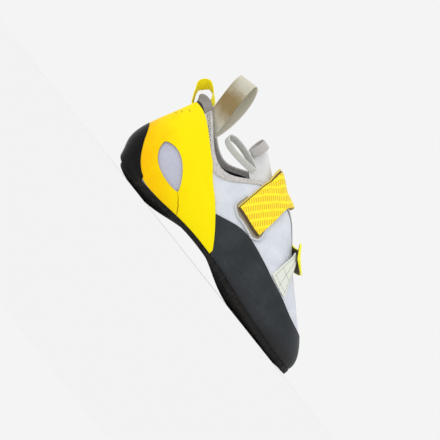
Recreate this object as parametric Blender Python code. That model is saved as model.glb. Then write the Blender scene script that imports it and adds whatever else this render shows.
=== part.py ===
"""Climbing shoe for the right foot, standing empty on its sole.

+X runs to the toe, +Y to the inner (medial) side and +Z up, in metres. The outer
(lateral) side is -Y. Every piece is worked out from one last: a closed row of
sections from the back of the heel along the outer side to the toe tip, and back
along the inner side. Each section is a wall that starts at the feather edge, where
upper and sole meet, and ends at the topline or at the edge of the throat.
"""

from collections import namedtuple

import bmesh
import bpy
import numpy as np

# Driving sizes of the last
LENGTH = 0.250
BALL_WIDTH = 0.093
INSTEP_HEIGHT = 0.0985
HEEL_HEIGHT = 0.107

# Thicknesses and clearances
GAP = 0.0003
SKIN_GAP = 0.0004
WALL = 0.0020
SOLE_LIP = 0.0026
SOLE_SEAT = 0.0030
INSOLE = 0.0020
HEEL_RUBBER = 0.0018
RAND_RUBBER = 0.0015
PATCH_RUBBER = 0.0012
TONGUE = 0.0025
STRAP = 0.0020
LANDING = 0.0010
WEB = 0.0010
WEBBING = 0.0012

# The last's back end and middle line, seen from the part's origin
ORIGIN_ALONG = 0.1201
ORIGIN_ACROSS = -0.0019

# Steps of the faceted surfaces
STATIONS = 64
WALL_STEPS = 12
SOLE_STEPS = 8
LOOP_STEPS = 28
WINDOW_STEPS = 30
CUP_ROWS = 6
RAND_ROWS = 9
PATCH_ROWS = 6
TONGUE_COLUMNS, TONGUE_ROWS, FREE_ROWS = 11, 13, 4
INSTEP_COLUMNS, INSTEP_ROWS = 27, 7
LANDING_COLUMNS, LANDING_ROWS = 6, 8
WEB_COLUMNS, WEB_ROWS = 9, 4
TOE_STRAP_COLUMNS, TOE_STRAP_ROWS = 21, 5

# The collar's back leans outward above the rand
FLARE, FLARE_FROM, FLARE_REACH = 0.0045, 0.935, 0.75

# Roundness of the bridge over the throat, and how far the sole's underside stays level
BRIDGE_REACH = 0.36
SOLE_LEVEL = 0.45
SEAT_SHARE = 0.86

# The sole is thicker at the very back, where its underside turns up
BACK_FILL, BACK_REACH = 0.0062, 0.50

# One row for each section of the last, from the back of the heel to the toe tip.
# along is a share of LENGTH, out of BALL_WIDTH, up of HEEL_HEIGHT behind the waist
# and of INSTEP_HEIGHT from the waist on. The other columns are metres:
# lift is the feather edge above the floor, keel the sole's underside on its middle
# line, edge the sole's side, and low and high shape the wall's swell near each end.
Section = namedtuple(
    "Section",
    "name lateral_along lateral_out medial_along medial_out lateral_lift medial_lift keel edge"
    " top_along top_out lateral_up medial_up low_out low_up high_out high_down",
)
SECTIONS = (
    Section("back", .011, .000, .011, .000, .0160, .0160, .0055, .0040,
            .0288, .000, .949, .949, .0215, .0125, .0050, .037),
    Section("heel_turn", .036, .183, .036, .183, .0140, .0140, .0025, .0065,
            .062, .151, .957, .965, .0150, .018, .0065, .034),
    Section("heel_side", .132, .306, .132, .306, .0100, .0110, -.0006, .0055,
            .154, .247, .825, .838, .0050, .024, .0065, .026),
    Section("heel_front", .248, .328, .240, .306, .0120, .0160, .0035, .0050,
            .250, .280, .685, .770, .0035, .022, .0050, .020),
    Section("waist", .376, .360, .368, .263, .0160, .0240, .0130, .0045,
            .338, .240, .775, .950, .0030, .024, .0070, .018),
    Section("instep", .496, .441, .496, .301, .0165, .0200, .0120, .0045,
            .432, .172, .990, .990, .0030, .026, .0140, .022),
    Section("ball", .608, .500, .612, .414, .0145, .0090, .0035, .0050,
            .510, .151, 1.000, 1.000, .0030, .021, .0190, .022),
    Section("joint", .720, .478, .732, .462, .0110, .0060, -.0006, .0050,
            .575, .134, .954, .954, .0030, .018, .0220, .024),
    Section("toe_side", .828, .344, .844, .435, .0085, .0058, -.0006, .0050,
            .622, .102, .878, .878, .0030, .017, .0260, .025),
    Section("toe_corner", .920, .134, .936, .333, .0072, .0060, -.0003, .0050,
            .645, .059, .832, .832, .0055, .021, .0310, .027),
    Section("tip", .986, -.140, .986, .140, .0072, .0072, .0019, .0050,
            .652, .000, .817, .817, .0060, .021, .0330, .028),
)
TIP = len(SECTIONS) - 1
ROUND = 2 * TIP
HEEL_ROWS = 4

# Edges of the sheets on the wall, as rise at each place on the outer side. Both
# sides of the shoe share them.
Edge = namedtuple("Edge", "place rise")
RAND_LOW = (
    Edge(0.0, .468), Edge(0.35, .478), Edge(0.6, .466), Edge(0.95, .390), Edge(1.25, .275),
    Edge(1.55, .165), Edge(1.85, .090), Edge(2.15, .048), Edge(2.8, .024), Edge(5.2, .022),
)
RAND_HIGH = (
    Edge(0.0, .924), Edge(0.6, .916), Edge(1.0, .915), Edge(1.4, .930), Edge(2.0, .950),
    Edge(2.7, .955), Edge(3.1, .93), Edge(3.5, .81), Edge(3.95, .60), Edge(4.45, .335), Edge(5.15, .050),
)
PATCH_HIGH = (
    Edge(4.45, .345), Edge(4.70, .358), Edge(5.0, .380), Edge(5.5, .423), Edge(5.9, .450),
    Edge(6.5, .468), Edge(7.25, .473), Edge(8.4, .472), Edge(9.05, .425), Edge(10.0, .385),
)
HEEL_CUP_END = 2.10
HEEL_CUP_LOW = 0.055
RAND_END = 5.15
PATCH_END = 4.45
PATCH_LOW = 0.020
SEAM = 0.008

# Straps: edges as place (rear and front) at steps across the section, from the
# outer side over the throat to the inner side.
StrapRow = namedtuple("StrapRow", "across rear front")
INSTEP_STRAP = (
    StrapRow(-1.455, 4.98, 6.20), StrapRow(-1.22, 5.10, 6.45), StrapRow(-1.0, 5.08, 6.52),
    StrapRow(0.0, 5.05, 6.60), StrapRow(1.0, 5.00, 6.40), StrapRow(1.50, 4.92, 6.05),
)
LANDING_PATCH = (
    StrapRow(-1.535, 5.10, 5.98), StrapRow(-1.50, 4.92, 6.18), StrapRow(-1.30, 4.86, 6.26),
)
LANDED_FROM, LANDED_OVER = 0.95, 0.25
STRAP_END_BOW = 0.022
STRAP_CURL = 0.0090
CURL_AT, CURL_REACH, CURL_SHARE = -0.35, 0.50, 0.50
TOE_STRAP_LIFT = 0.0060
WEB_LIFT, WEB_LIFT_FROM, WEB_LIFT_OVER = 0.0045, -1.42, 0.30
TOE_STRAP_LOW = (Edge(8.8, .825), Edge(10.0, .795), Edge(11.5, .75), Edge(12.8, .66))
TOE_STRAP_HIGH = (Edge(8.8, .972), Edge(10.0, .968), Edge(11.5, .945), Edge(12.8, .875))
TOE_STRAP_WEB = (
    StrapRow(-1.50, 7.45, 8.50), StrapRow(-1.30, 8.00, 8.95), StrapRow(-1.12, 8.75, 9.45),
)

# Tongue: where it lies in the throat, and its free end
TONGUE_SIDE = (Edge(5.0, 1.24), Edge(5.6, 1.22), Edge(6.5, 1.20), Edge(8.2, 1.12))
TONGUE_BACK, TONGUE_FRONT = TONGUE_SIDE[0].place, TONGUE_SIDE[-1].place
TONGUE_RISE = 0.0369
TONGUE_NARROWS, TONGUE_TAPER = 0.50, 0.58
TONGUE_LEAN = (-0.876, 0.0, 0.483)
TONGUE_TUCK = (0.014, 0.0, -0.015)

# Webbing loops
HEEL_LOOP_WIDTH = 0.013
HEEL_LOOP_ACROSS = (0.50, 0.80, -0.33)
HEEL_LOOP_TWIST = 0.008
LoopRow = namedtuple("LoopRow", "along up")
HEEL_LOOP = (
    LoopRow(.0000, -.0098), LoopRow(-.0028, -.0060), LoopRow(-.0059, -.0010),
    LoopRow(-.0068, .0035), LoopRow(-.0047, .0082), LoopRow(-.0013, .0106),
    LoopRow(.0032, .0092), LoopRow(.0081, .0060), LoopRow(.0110, .0018),
    LoopRow(.0106, -.0030), LoopRow(.0080, -.0080),
)
Loop = namedtuple("Loop", "width length breadth taper")
COLLAR_LOOP = Loop(width=.020, length=.056, breadth=.0160, taper=.40)
COLLAR_LOOP_PLACE = 1.70
COLLAR_LOOP_INSET, COLLAR_LOOP_SINK = 0.0107, 0.0090
COLLAR_LOOP_LEAN = -0.06
COLLAR_LOOP_ACROSS = (0.92, -0.36, 0.16)
COLLAR_LOOP_SWAY = (-0.004, -0.020, 0.0)
WHITE_LOOP = Loop(width=.0075, length=.039, breadth=.0118, taper=.45)
WHITE_LOOP_AT, WHITE_LOOP_SHARE, WHITE_LOOP_RISE = -1.05, 0.45, 0.03
WHITE_LOOP_OFF = (-0.0019, -0.0092, -0.0056)
WHITE_LOOP_ACROSS = (0.0, 0.70, -0.71)
GREY_LOOP = Loop(width=.0092, length=.016, breadth=.0075, taper=.35)
GREY_LOOP_AT, GREY_LOOP_LEAN = -1.12, 0.05
GREY_LOOP_OFF = (0.0014, -0.0062, -0.0022)
GREY_LOOP_ACROSS = (0.85, 0.53, 0.0)

# Almond window in the rand, on both sides
Window = namedtuple("Window", "along up length breadth taper slope")
RAND_WINDOW = Window(along=.0440, up=.0385, length=.048, breadth=.0205, taper=.30, slope=-.45)
WINDOW_POINT = 0.22


def sized_row(section, side):
    """One side of a section as metres: feather point, topline point, swells, keel and edge."""
    lateral = side < 0
    along = section.lateral_along if lateral else section.medial_along
    out = section.lateral_out if lateral else section.medial_out
    lift = section.lateral_lift if lateral else section.medial_lift
    up = section.lateral_up if lateral else section.medial_up
    height = HEEL_HEIGHT if SECTIONS.index(section) < HEEL_ROWS else INSTEP_HEIGHT
    return (
        along * LENGTH, side * out * BALL_WIDTH, lift,
        section.top_along * LENGTH, side * section.top_out * BALL_WIDTH, up * height,
        section.low_out, section.low_up, section.high_out, section.high_down,
        section.keel, section.edge,
    )


class Last:
    """The closed cubic through the sections, and the surfaces that follow from it."""

    def __init__(self):
        lateral = [sized_row(section, -1) for section in SECTIONS]
        medial = [sized_row(section, 1) for section in SECTIONS[TIP - 1:0:-1]]
        self.rows = np.array(lateral + medial)
        same = np.eye(ROUND)
        system = 4 * same + np.roll(same, 1, 0) + np.roll(same, -1, 0)
        bend = np.roll(self.rows, -1, 0) - 2 * self.rows + np.roll(self.rows, 1, 0)
        self.bends = np.linalg.solve(system, 6 * bend)

    def row(self, place):
        """All columns at a place: 0 is the back, TIP the toe and ROUND the back again."""
        place = np.asarray(place, float)
        first = np.floor(place).astype(int)
        share = (place - first)[..., None]
        here, there = first % ROUND, (first + 1) % ROUND
        rest = 1 - share
        return (
            self.rows[here] * rest + self.rows[there] * share
            + (rest ** 3 - rest) * self.bends[here] / 6
            + (share ** 3 - share) * self.bends[there] / 6
        )

    def outward(self, place):
        """The level direction that points out of the feather line."""
        step = 1e-3
        run = unit(self.row(place + step)[..., :2] - self.row(place - step)[..., :2])
        level = np.zeros(run.shape[:-1] + (1,))
        return np.concatenate([run[..., 1:2], -run[..., 0:1], level], axis=-1)

    def handles(self, place):
        """The four control points of the wall at a place."""
        row, out = self.row(place), self.outward(place)
        up = np.array([0.0, 0.0, 1.0])
        foot, top = row[..., 0:3], row[..., 3:6]
        low = foot + out * row[..., 6:7] + up * row[..., 7:8]
        high = top + out * row[..., 8:9] - up * row[..., 9:10]
        return foot, low, high, top

    def wall(self, place, rise):
        """The point on the wall at a place: rise 0 is the feather edge and 1 the topline."""
        place, rise = np.asarray(place, float), np.asarray(rise, float)
        near_back = np.exp(-(((place + TIP) % ROUND - TIP) / FLARE_REACH) ** 2)
        share = np.clip((rise - FLARE_FROM) / (1 - FLARE_FROM), 0, None) ** 1.5
        flare = self.outward(place) * (FLARE * near_back * share)[..., None]
        return bezier(*self.handles(place), rise[..., None]) + flare

    def over(self, place, across):
        """The point on a whole section, at a place from 0 to TIP.

        across runs from -2 at the outer feather edge, over the throat from -1 to 1,
        to 2 at the inner feather edge.
        """
        across = np.asarray(across, float)[..., None]
        outer, inner = self.handles(place), self.handles(ROUND - place)
        reach = BRIDGE_REACH * np.linalg.norm(outer[3] - inner[3], axis=-1, keepdims=True)
        start = outer[3] + reach * unit(outer[3] - outer[2])
        end = inner[3] + reach * unit(inner[3] - inner[2])
        middle = bezier(outer[3], start, end, inner[3], (across + 1) / 2)
        sides = np.where(across < 0, bezier(*outer, 2 + across), bezier(*inner, 2 - across))
        return np.where(np.abs(across) > 1, sides, middle)


def bezier(first, second, third, fourth, share):
    rest = 1 - share
    return (
        rest ** 3 * first + 3 * rest ** 2 * share * second
        + 3 * rest * share ** 2 * third + share ** 3 * fourth
    )


def ease(share):
    """A share from 0 to 1 with a level start and end."""
    return share * share * (3 - 2 * share)


def unit(vectors):
    return vectors / np.linalg.norm(vectors, axis=-1, keepdims=True)


def eased(table, where):
    """The second and later columns of a table, read smoothly at values of its first column."""
    table = np.array(table, float)
    spots, values = table[:, 0], table[:, 1:]
    slopes = np.gradient(values, spots, axis=0)
    where = np.asarray(where, float)
    left = np.clip(np.searchsorted(spots, where) - 1, 0, len(spots) - 2)
    span = (spots[left + 1] - spots[left])[..., None]
    share = (where[..., None] - spots[left][..., None]) / span
    first, last = values[left], values[left + 1]
    start, end = first + slopes[left] * span / 3, last - slopes[left + 1] * span / 3
    return bezier(first, start, end, last, share)


def proud(surface, place, second, offset):
    """Points that stand off a surface function along its outward normal."""
    place, second, offset = np.broadcast_arrays(place, second, offset)
    step = 2e-3
    along = surface(place + step, second) - surface(place - step, second)
    across = surface(place, second + step) - surface(place, second - step)
    return surface(place, second) + unit(np.cross(along, across)) * offset[..., None]


LAST = Last()


def material(name, colour, roughness):
    made = bpy.data.materials.new(name)
    made.use_nodes = True
    shader = made.node_tree.nodes["Principled BSDF"]
    shader.inputs["Base Color"].default_value = (*colour, 1.0)
    shader.inputs["Roughness"].default_value = roughness
    shader.inputs["Metallic"].default_value = 0.0
    made.diffuse_color = (*colour, 1.0)
    return made


def add_object(name, mesh, finish=None):
    """An object from a bmesh, moved from the last's frame to the part's."""
    bmesh.ops.recalc_face_normals(mesh, faces=mesh.faces[:])
    bmesh.ops.translate(mesh, verts=mesh.verts, vec=(-ORIGIN_ALONG, -ORIGIN_ACROSS, 0))
    data = bpy.data.meshes.new(name)
    mesh.to_mesh(data)
    mesh.free()
    made = bpy.data.objects.new(name, data)
    bpy.context.collection.objects.link(made)
    if finish:
        data.materials.append(finish)
        data.shade_smooth()
        data.set_sharp_from_angle(angle=0.6)
    return made


def solid_between(name, first_skin, second_skin, finish):
    """A closed solid between two skins of one grid. Columns or rows that coincide are welded."""
    columns, rows = first_skin.shape[:2]
    mesh = bmesh.new()
    spot = mesh.verts.layers.int.new("spot")
    bmesh.ops.create_grid(mesh, x_segments=columns - 1, y_segments=rows - 1, size=0.5)
    for vertex in mesh.verts:
        column = round((vertex.co.x + 0.5) * (columns - 1))
        row = round((vertex.co.y + 0.5) * (rows - 1))
        vertex[spot] = column * rows + row
        vertex.co = first_skin[column, row]
    bmesh.ops.remove_doubles(mesh, verts=mesh.verts, dist=1e-6)
    grown = bmesh.ops.extrude_face_region(mesh, geom=mesh.faces[:], use_keep_orig=True)
    for vertex in grown["geom"]:
        if isinstance(vertex, bmesh.types.BMVert):
            vertex.co = second_skin[divmod(vertex[spot], rows)]
    return add_object(name, mesh, finish)


def sheet(name, surface, places, seconds, inside, outside, finish):
    """A sheet that hugs one of the last's surfaces, between two distances from it."""
    return solid_between(
        name, proud(surface, places, seconds, outside), proud(surface, places, seconds, inside), finish
    )


def wall_sheet(name, places, lows, highs, rows, thick, finish, inside=SKIN_GAP):
    """A sheet on the wall between two edges, given as rise at each place."""
    share = np.linspace(0, 1, rows)
    rises = lows[:, None] + (highs - lows)[:, None] * share
    return sheet(name, LAST.wall, places[:, None], rises, inside, inside + thick, finish)


def strap_sheet(name, table, columns, rows, inside, thick, finish, bow=0.0):
    """A strap across the section.

    inside gives its distance from the upper, by across and by share of its width. bow is
    how far the middle of its first end stands out.
    """
    across = np.linspace(table[0].across, table[-1].across, columns)[:, None]
    edges = eased(table, across[:, 0])
    share = np.linspace(0, 1, rows)
    places = edges[:, :1] + (edges[:, 1:] - edges[:, :1]) * share
    across = across - bow * 4 * share * (1 - share) * np.linspace(1, 0, columns)[:, None] ** 4
    inside = inside(across, share)
    return sheet(name, LAST.over, places, across, inside, inside + thick, finish)


def both_sides(table, places):
    """An edge of the outer side at places on either side of the back or the toe."""
    folded = np.abs(places)
    folded = np.where(folded > TIP, ROUND - folded, folded)
    return eased(table, folded)[..., 0]


def make_upper(finish):
    places = stations(0, ROUND)[:, None]
    rises = np.append(np.linspace(0, FLARE_FROM, WALL_STEPS + 1), [(1 + FLARE_FROM) / 2, 1.0])[None, :]
    return sheet("upper", LAST.wall, places, rises, -WALL, 0.0, finish)


def sole_lines(places):
    """The sole's section lines: points across the seat, the seat's height and the underside."""
    outer, inner = LAST.row(places), LAST.row(ROUND - places)
    out_left, out_right = LAST.outward(places), LAST.outward(ROUND - places)
    across = np.linspace(-1, 1, SOLE_STEPS + 1)
    share = ((across + 1) / 2)[None, :, None]
    seat_left = outer[:, :3] - out_left * SOLE_SEAT
    seat_right = inner[:, :3] - out_right * SOLE_SEAT
    seat = seat_left[:, None] * (1 - share) + seat_right[:, None] * share
    rim_left = (outer[:, :3] + out_left * SOLE_LIP)[:, None]
    rim_right = (inner[:, :3] + out_right * SOLE_LIP)[:, None]
    keel, edge = outer[:, 10:11], outer[:, 11:12]
    lift = np.where(across < 0, outer[:, 2:3], inner[:, 2:3]) - GAP
    swell = np.clip((np.abs(across) * SEAT_SHARE - SOLE_LEVEL) / (1 - SOLE_LEVEL), 0, 1) ** 2
    under = np.maximum(keel + (lift - edge - keel) * swell, 0)
    core = np.maximum(keel, 0) + edge + BACK_FILL * np.exp(-(places / BACK_REACH) ** 2)[:, None]
    top = core + (lift - core) * np.abs(across) ** 3
    rim_under = np.maximum(lift - edge, 0)
    return seat, top, under, rim_left, rim_right, lift, rim_under


def with_height(points, height):
    return np.concatenate([points[..., :2], height[..., None]], axis=-1)


def stations(start, end):
    """The upper's own stations between two places, and those places."""
    step = ROUND / STATIONS
    inner = np.arange(np.ceil(start / step + 0.3), np.floor(end / step - 0.3) + 1) * step
    return np.concatenate([[start], inner, [end]])


def make_outsole(finish):
    seat, top, under, rim_left, rim_right, lift, rim_under = sole_lines(stations(0, TIP))
    points = np.concatenate([rim_left, seat, rim_right], axis=1)
    tops = np.concatenate([lift[:, :1], top, lift[:, -1:]], axis=1)
    unders = np.concatenate([rim_under[:, :1], under, rim_under[:, -1:]], axis=1)
    return solid_between("outsole", with_height(points, unders), with_height(points, tops), finish)


def make_insole(finish):
    seat, top = sole_lines(stations(ROUND / STATIONS, TIP))[:2]
    low = top + 3 * GAP
    return solid_between("insole", with_height(seat, low), with_height(seat, low + INSOLE), finish)


def make_heel_cup(finish):
    places = stations(-HEEL_CUP_END, HEEL_CUP_END)
    highs = both_sides(RAND_LOW, places) - SEAM
    lows = np.minimum(HEEL_CUP_LOW, highs / 2)
    return wall_sheet("heel_cup", places, lows, highs, CUP_ROWS, HEEL_RUBBER, finish)


def make_tension_rand(finish):
    places = stations(-RAND_END, RAND_END)
    lows, highs = both_sides(RAND_LOW, places), both_sides(RAND_HIGH, places)
    rand = wall_sheet("tension_rand", places, lows, highs, RAND_ROWS, RAND_RUBBER, finish)
    rand.modifiers.new("facets", "TRIANGULATE")
    cut = rand.modifiers.new("windows", "BOOLEAN")
    cut.operation = "DIFFERENCE"
    cut.solver = "EXACT"
    cut.object = make_window_cutter()
    return rand


def make_window_cutter():
    """A prism of the almond outline that runs through both sides of the heel."""
    window = RAND_WINDOW
    long, wide = teardrop(window, WINDOW_STEPS)
    wide = wide * np.clip(1 - (2 * long / window.length) ** 2, 0, 1) ** WINDOW_POINT
    slope = np.arctan(window.slope)
    along = window.along + long * np.cos(slope) - wide * np.sin(slope)
    up = window.up + long * np.sin(slope) + wide * np.cos(slope)
    mesh = bmesh.new()
    rim = [mesh.verts.new((x, -BALL_WIDTH, z)) for x, z in zip(along, up)]
    face = mesh.faces.new(rim)
    grown = bmesh.ops.extrude_face_region(mesh, geom=[face], use_keep_orig=True)
    far = [part for part in grown["geom"] if isinstance(part, bmesh.types.BMVert)]
    bmesh.ops.translate(mesh, verts=far, vec=(0, 2 * BALL_WIDTH, 0))
    cutter = add_object("window_cutter", mesh)
    cutter.hide_render = True
    cutter.display_type = "WIRE"
    return cutter


def make_toe_patch(finish):
    places = stations(PATCH_END, ROUND - PATCH_END)
    folded = np.where(places > TIP, ROUND - places, places)
    over_rand = eased(RAND_HIGH, np.minimum(folded, RAND_END))[:, 0] + SEAM
    lows = np.where(folded < RAND_END, over_rand, PATCH_LOW)
    highs = both_sides(PATCH_HIGH, places)
    return wall_sheet("toe_patch", places, lows, highs, PATCH_ROWS, PATCH_RUBBER, finish)


def make_tongue(finish):
    """The tongue lies under the throat's edges and runs on past the instep."""
    places = np.linspace(TONGUE_FRONT, TONGUE_BACK, TONGUE_COLUMNS)[:, None]
    across = eased(TONGUE_SIDE, places[:, 0]) * np.linspace(-1, 1, TONGUE_ROWS)
    skins = []
    for depth in (WALL + 2 * GAP, WALL + 2 * GAP + TONGUE):
        throat = proud(LAST.over, places, across, -depth)
        tucked = [throat[0] + np.array(TONGUE_TUCK)]
        shares = np.arange(1, FREE_ROWS + 1) / FREE_ROWS
        free = [free_row(throat[-1], share) for share in shares]
        skins.append(np.concatenate([tucked, throat, free]))
    return solid_between("tongue", *skins, finish)


def free_row(row, share):
    """A row of the tongue's free end, narrowed to round corners."""
    narrow = np.array([1.0, 1 - TONGUE_NARROWS * share ** TONGUE_TAPER, 1.0])
    return row * narrow + np.array(TONGUE_LEAN) * TONGUE_RISE * share


def tongue_point(across, share):
    """A point in the middle of the tongue's free end; share 1 is its edge."""
    depth = WALL + 2 * GAP + TONGUE / 2
    row = proud(LAST.over, np.array([[TONGUE_BACK]]), np.array([[across]]), -depth)
    return free_row(row[0], share)[0]


def teardrop(loop, steps):
    """An outline that is slimmer towards the positive end of its length, as along and side."""
    angle = np.linspace(0, 2 * np.pi, steps, endpoint=False)
    along = loop.length / 2 * np.cos(angle)
    side = loop.breadth / 2 * np.sin(angle) * (1 - loop.taper * np.cos(angle))
    return along, side


def webbing(name, path, across, width, closed, finish):
    """A strip of webbing along a path. across is the direction of its width, made square to the path."""
    run = unit(np.roll(path, -1, 0) - np.roll(path, 1, 0) if closed else np.gradient(path, axis=0))
    edge = unit(across - run * np.sum(run * across, axis=-1, keepdims=True)) * width / 2
    face = unit(np.cross(run, edge)) * WEBBING / 2
    if closed:
        path, face, edge = (np.append(line, line[:1], 0) for line in (path, face, edge))
    skins = [np.stack([path + side - edge, path + side + edge], axis=1) for side in (face, -face)]
    return solid_between(name, *skins, finish)


def make_ring(name, loop, foot, long, across, finish, sway=(0.0, 0.0, 0.0)):
    """A closed webbing loop that starts at foot, with its slim end there.

    sway is how far its round end hangs over from the straight line along long.
    """
    along, out = teardrop(loop, LOOP_STEPS)
    long, side = unit(np.asarray(long)), unit(np.cross(long, across))
    reach = (loop.length / 2 - along)[:, None]
    path = foot + reach * long + out[:, None] * side + (reach / loop.length) ** 2 * np.array(sway)
    return webbing(name, path, np.asarray(across), loop.width, True, finish)


def make_heel_loop(finish):
    table = [(step, *row) for step, row in enumerate(HEEL_LOOP)]
    path = eased(table, np.linspace(0, len(HEEL_LOOP) - 1, LOOP_STEPS))
    back = LAST.wall(0.0, 1.0)
    points = np.stack([back[0] + path[:, 0], np.zeros(len(path)), back[2] + path[:, 1]], axis=1)
    twist = ease(np.clip(path[:, 1:] / HEEL_LOOP_TWIST, 0, 1))
    across = np.array([0.0, 1.0, 0.0]) * (1 - twist) + np.array(HEEL_LOOP_ACROSS) * twist
    return webbing("heel_pull_loop", points, across, HEEL_LOOP_WIDTH, False, finish)


def make_collar_loop(finish):
    long, across = np.array([COLLAR_LOOP_LEAN, 0.0, 1.0]), np.array(COLLAR_LOOP_ACROSS)
    inward = unit(np.cross(long, across))
    foot = LAST.wall(COLLAR_LOOP_PLACE, 1.0) + inward * COLLAR_LOOP_INSET - long * COLLAR_LOOP_SINK
    return make_ring("collar_pull_loop", COLLAR_LOOP, foot, long, across, finish, COLLAR_LOOP_SWAY)


def make_tongue_loops(white, grey):
    foot = tongue_point(WHITE_LOOP_AT, WHITE_LOOP_SHARE) + np.array(WHITE_LOOP_OFF)
    long = (-1.0, 0.0, WHITE_LOOP_RISE)
    make_ring("tongue_loop_white", WHITE_LOOP, foot, long, WHITE_LOOP_ACROSS, white)
    foot = tongue_point(GREY_LOOP_AT, 1.0) + np.array(GREY_LOOP_OFF)
    long = (GREY_LOOP_LEAN, 0.0, 1.0)
    make_ring("tongue_loop_grey", GREY_LOOP, foot, long, GREY_LOOP_ACROSS, grey)


def make_straps(yellow, hook, beige):
    def instep_clearance(across, share):
        """Over the landing patch on the outer side, with a rear edge that curls up on the crown."""
        landed = ease(np.clip((-across - LANDED_FROM) / LANDED_OVER, 0, 1))
        crown = np.exp(-((across - CURL_AT) / CURL_REACH) ** 2)
        rear = np.clip(1 - share / CURL_SHARE, 0, 1) ** 2
        return GAP + (LANDING + GAP) * landed + STRAP_CURL * crown * rear

    def close(across, share):
        return GAP + 0 * across * share

    def pulled_up(across, share):
        """The web leaves the upper towards the toe strap."""
        raised = ease(np.clip((across - WEB_LIFT_FROM) / WEB_LIFT_OVER, 0, 1))
        return close(across, share) + WEB_LIFT * raised

    instep = INSTEP_STRAP, INSTEP_COLUMNS, INSTEP_ROWS
    strap_sheet("instep_strap", *instep, instep_clearance, STRAP, yellow, STRAP_END_BOW)
    landing = LANDING_PATCH, LANDING_COLUMNS, LANDING_ROWS
    strap_sheet("strap_landing", *landing, close, LANDING, hook)
    strap_sheet("toe_strap_web", TOE_STRAP_WEB, WEB_COLUMNS, WEB_ROWS, pulled_up, WEB, beige)
    places = np.linspace(TOE_STRAP_LOW[0].place, TOE_STRAP_LOW[-1].place, TOE_STRAP_COLUMNS)
    lows, highs = eased(TOE_STRAP_LOW, places)[:, 0], eased(TOE_STRAP_HIGH, places)[:, 0]
    lifted = (GAP + WEB + TOE_STRAP_LIFT) * ease(np.linspace(1, 0, len(places)))[:, None]
    inside = GAP + lifted
    wall_sheet("toe_strap", places, lows, highs, TOE_STRAP_ROWS, STRAP, yellow, inside)


# Colour and roughness of each finish
FINISHES = {
    "upper_grey": ((0.70, 0.73, 0.77), 0.85),
    "sole_black": ((0.013, 0.013, 0.015), 0.60),
    "heel_black": ((0.003, 0.003, 0.003), 0.45),
    "patch_grey": ((0.040, 0.045, 0.052), 0.55),
    "rand_yellow": ((0.95, 0.70, 0.01), 0.45),
    "strap_yellow": ((0.95, 0.85, 0.01), 0.60),
    "loop_yellow": ((0.93, 0.67, 0.00), 0.80),
    "webbing_beige": ((0.66, 0.62, 0.50), 0.85),
    "landing_beige": ((0.38, 0.34, 0.20), 0.95),
    "tongue_white": ((0.76, 0.77, 0.76), 0.85),
    "loop_white": ((0.72, 0.72, 0.70), 0.80),
    "loop_grey": ((0.50, 0.50, 0.50), 0.80),
    "insole_black": ((0.010, 0.010, 0.012), 0.90),
}


def main():
    for old in list(bpy.data.objects):
        bpy.data.objects.remove(old, do_unlink=True)
    finish = {name: material(name, *look) for name, look in FINISHES.items()}
    make_outsole(finish["sole_black"])
    make_insole(finish["insole_black"])
    make_upper(finish["upper_grey"])
    make_heel_cup(finish["heel_black"])
    make_tension_rand(finish["rand_yellow"])
    make_toe_patch(finish["patch_grey"])
    make_tongue(finish["tongue_white"])
    make_tongue_loops(finish["loop_white"], finish["loop_grey"])
    make_heel_loop(finish["loop_yellow"])
    make_collar_loop(finish["webbing_beige"])
    make_straps(finish["strap_yellow"], finish["landing_beige"], finish["webbing_beige"])


main()
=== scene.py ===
"""The looks of a climbing shoe for the right foot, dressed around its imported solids.

+X runs to the toe, +Y to the inner side and +Z up, in metres, as in the solids. Skins,
straps and seams are worked out from one last: a closed row of sections from the back
of the heel along the outer side to the toe tip, and back along the inner side.
"""

import logging
import math
from dataclasses import dataclass
from enum import Enum
from typing import Callable, ClassVar, NamedTuple, Sequence, Union

import bmesh
import bpy
import numpy as np
from mathutils import Matrix, Vector


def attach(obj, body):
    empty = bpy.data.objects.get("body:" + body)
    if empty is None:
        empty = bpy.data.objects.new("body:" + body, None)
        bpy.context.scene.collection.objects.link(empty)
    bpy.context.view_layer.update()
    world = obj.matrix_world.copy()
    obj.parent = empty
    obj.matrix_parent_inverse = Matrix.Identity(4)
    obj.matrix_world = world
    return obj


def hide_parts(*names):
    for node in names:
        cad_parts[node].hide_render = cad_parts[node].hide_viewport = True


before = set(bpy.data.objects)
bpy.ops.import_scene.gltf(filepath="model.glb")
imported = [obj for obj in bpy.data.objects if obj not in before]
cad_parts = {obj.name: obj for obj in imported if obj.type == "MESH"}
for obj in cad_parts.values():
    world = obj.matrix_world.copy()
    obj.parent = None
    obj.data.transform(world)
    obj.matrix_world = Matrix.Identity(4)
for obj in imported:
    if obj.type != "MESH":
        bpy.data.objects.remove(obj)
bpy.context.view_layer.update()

LOG = logging.getLogger("climbing_shoe")
Array = np.ndarray
Colour = tuple[float, float, float]
Surface = Callable[[Array, Array], Array]

# Thicknesses and clearances of the solids
GAP = 0.0003
SKIN_GAP = 0.0004
WALL = 0.0020
SOLE_LIP = 0.0026
SOLE_SEAT = 0.0030
INSOLE = 0.0020
HEEL_RUBBER = 0.0018
RAND_RUBBER = 0.0015
PATCH_RUBBER = 0.0012
TONGUE = 0.0025
STRAP = 0.0020
LANDING = 0.0010
WEB = 0.0010
WEBBING = 0.0012
UP = np.array([0.0, 0.0, 1.0])


class Side(Enum):
    """The shoe's two sides, as the sign of Y."""

    OUTER = -1
    INNER = 1


class Section(NamedTuple):
    """One section of the last.

    along is a share of the length, out of the ball width and up of the heel or instep
    height. lift is the feather edge above the floor, keel the sole's underside on its middle
    line, edge the sole's side, and low and high shape the wall's swell near each end.
    """

    lateral_along: float
    lateral_out: float
    medial_along: float
    medial_out: float
    lateral_lift: float
    medial_lift: float
    keel: float
    edge: float
    top_along: float
    top_out: float
    lateral_up: float
    medial_up: float
    low_out: float
    low_up: float
    high_out: float
    high_down: float


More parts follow.
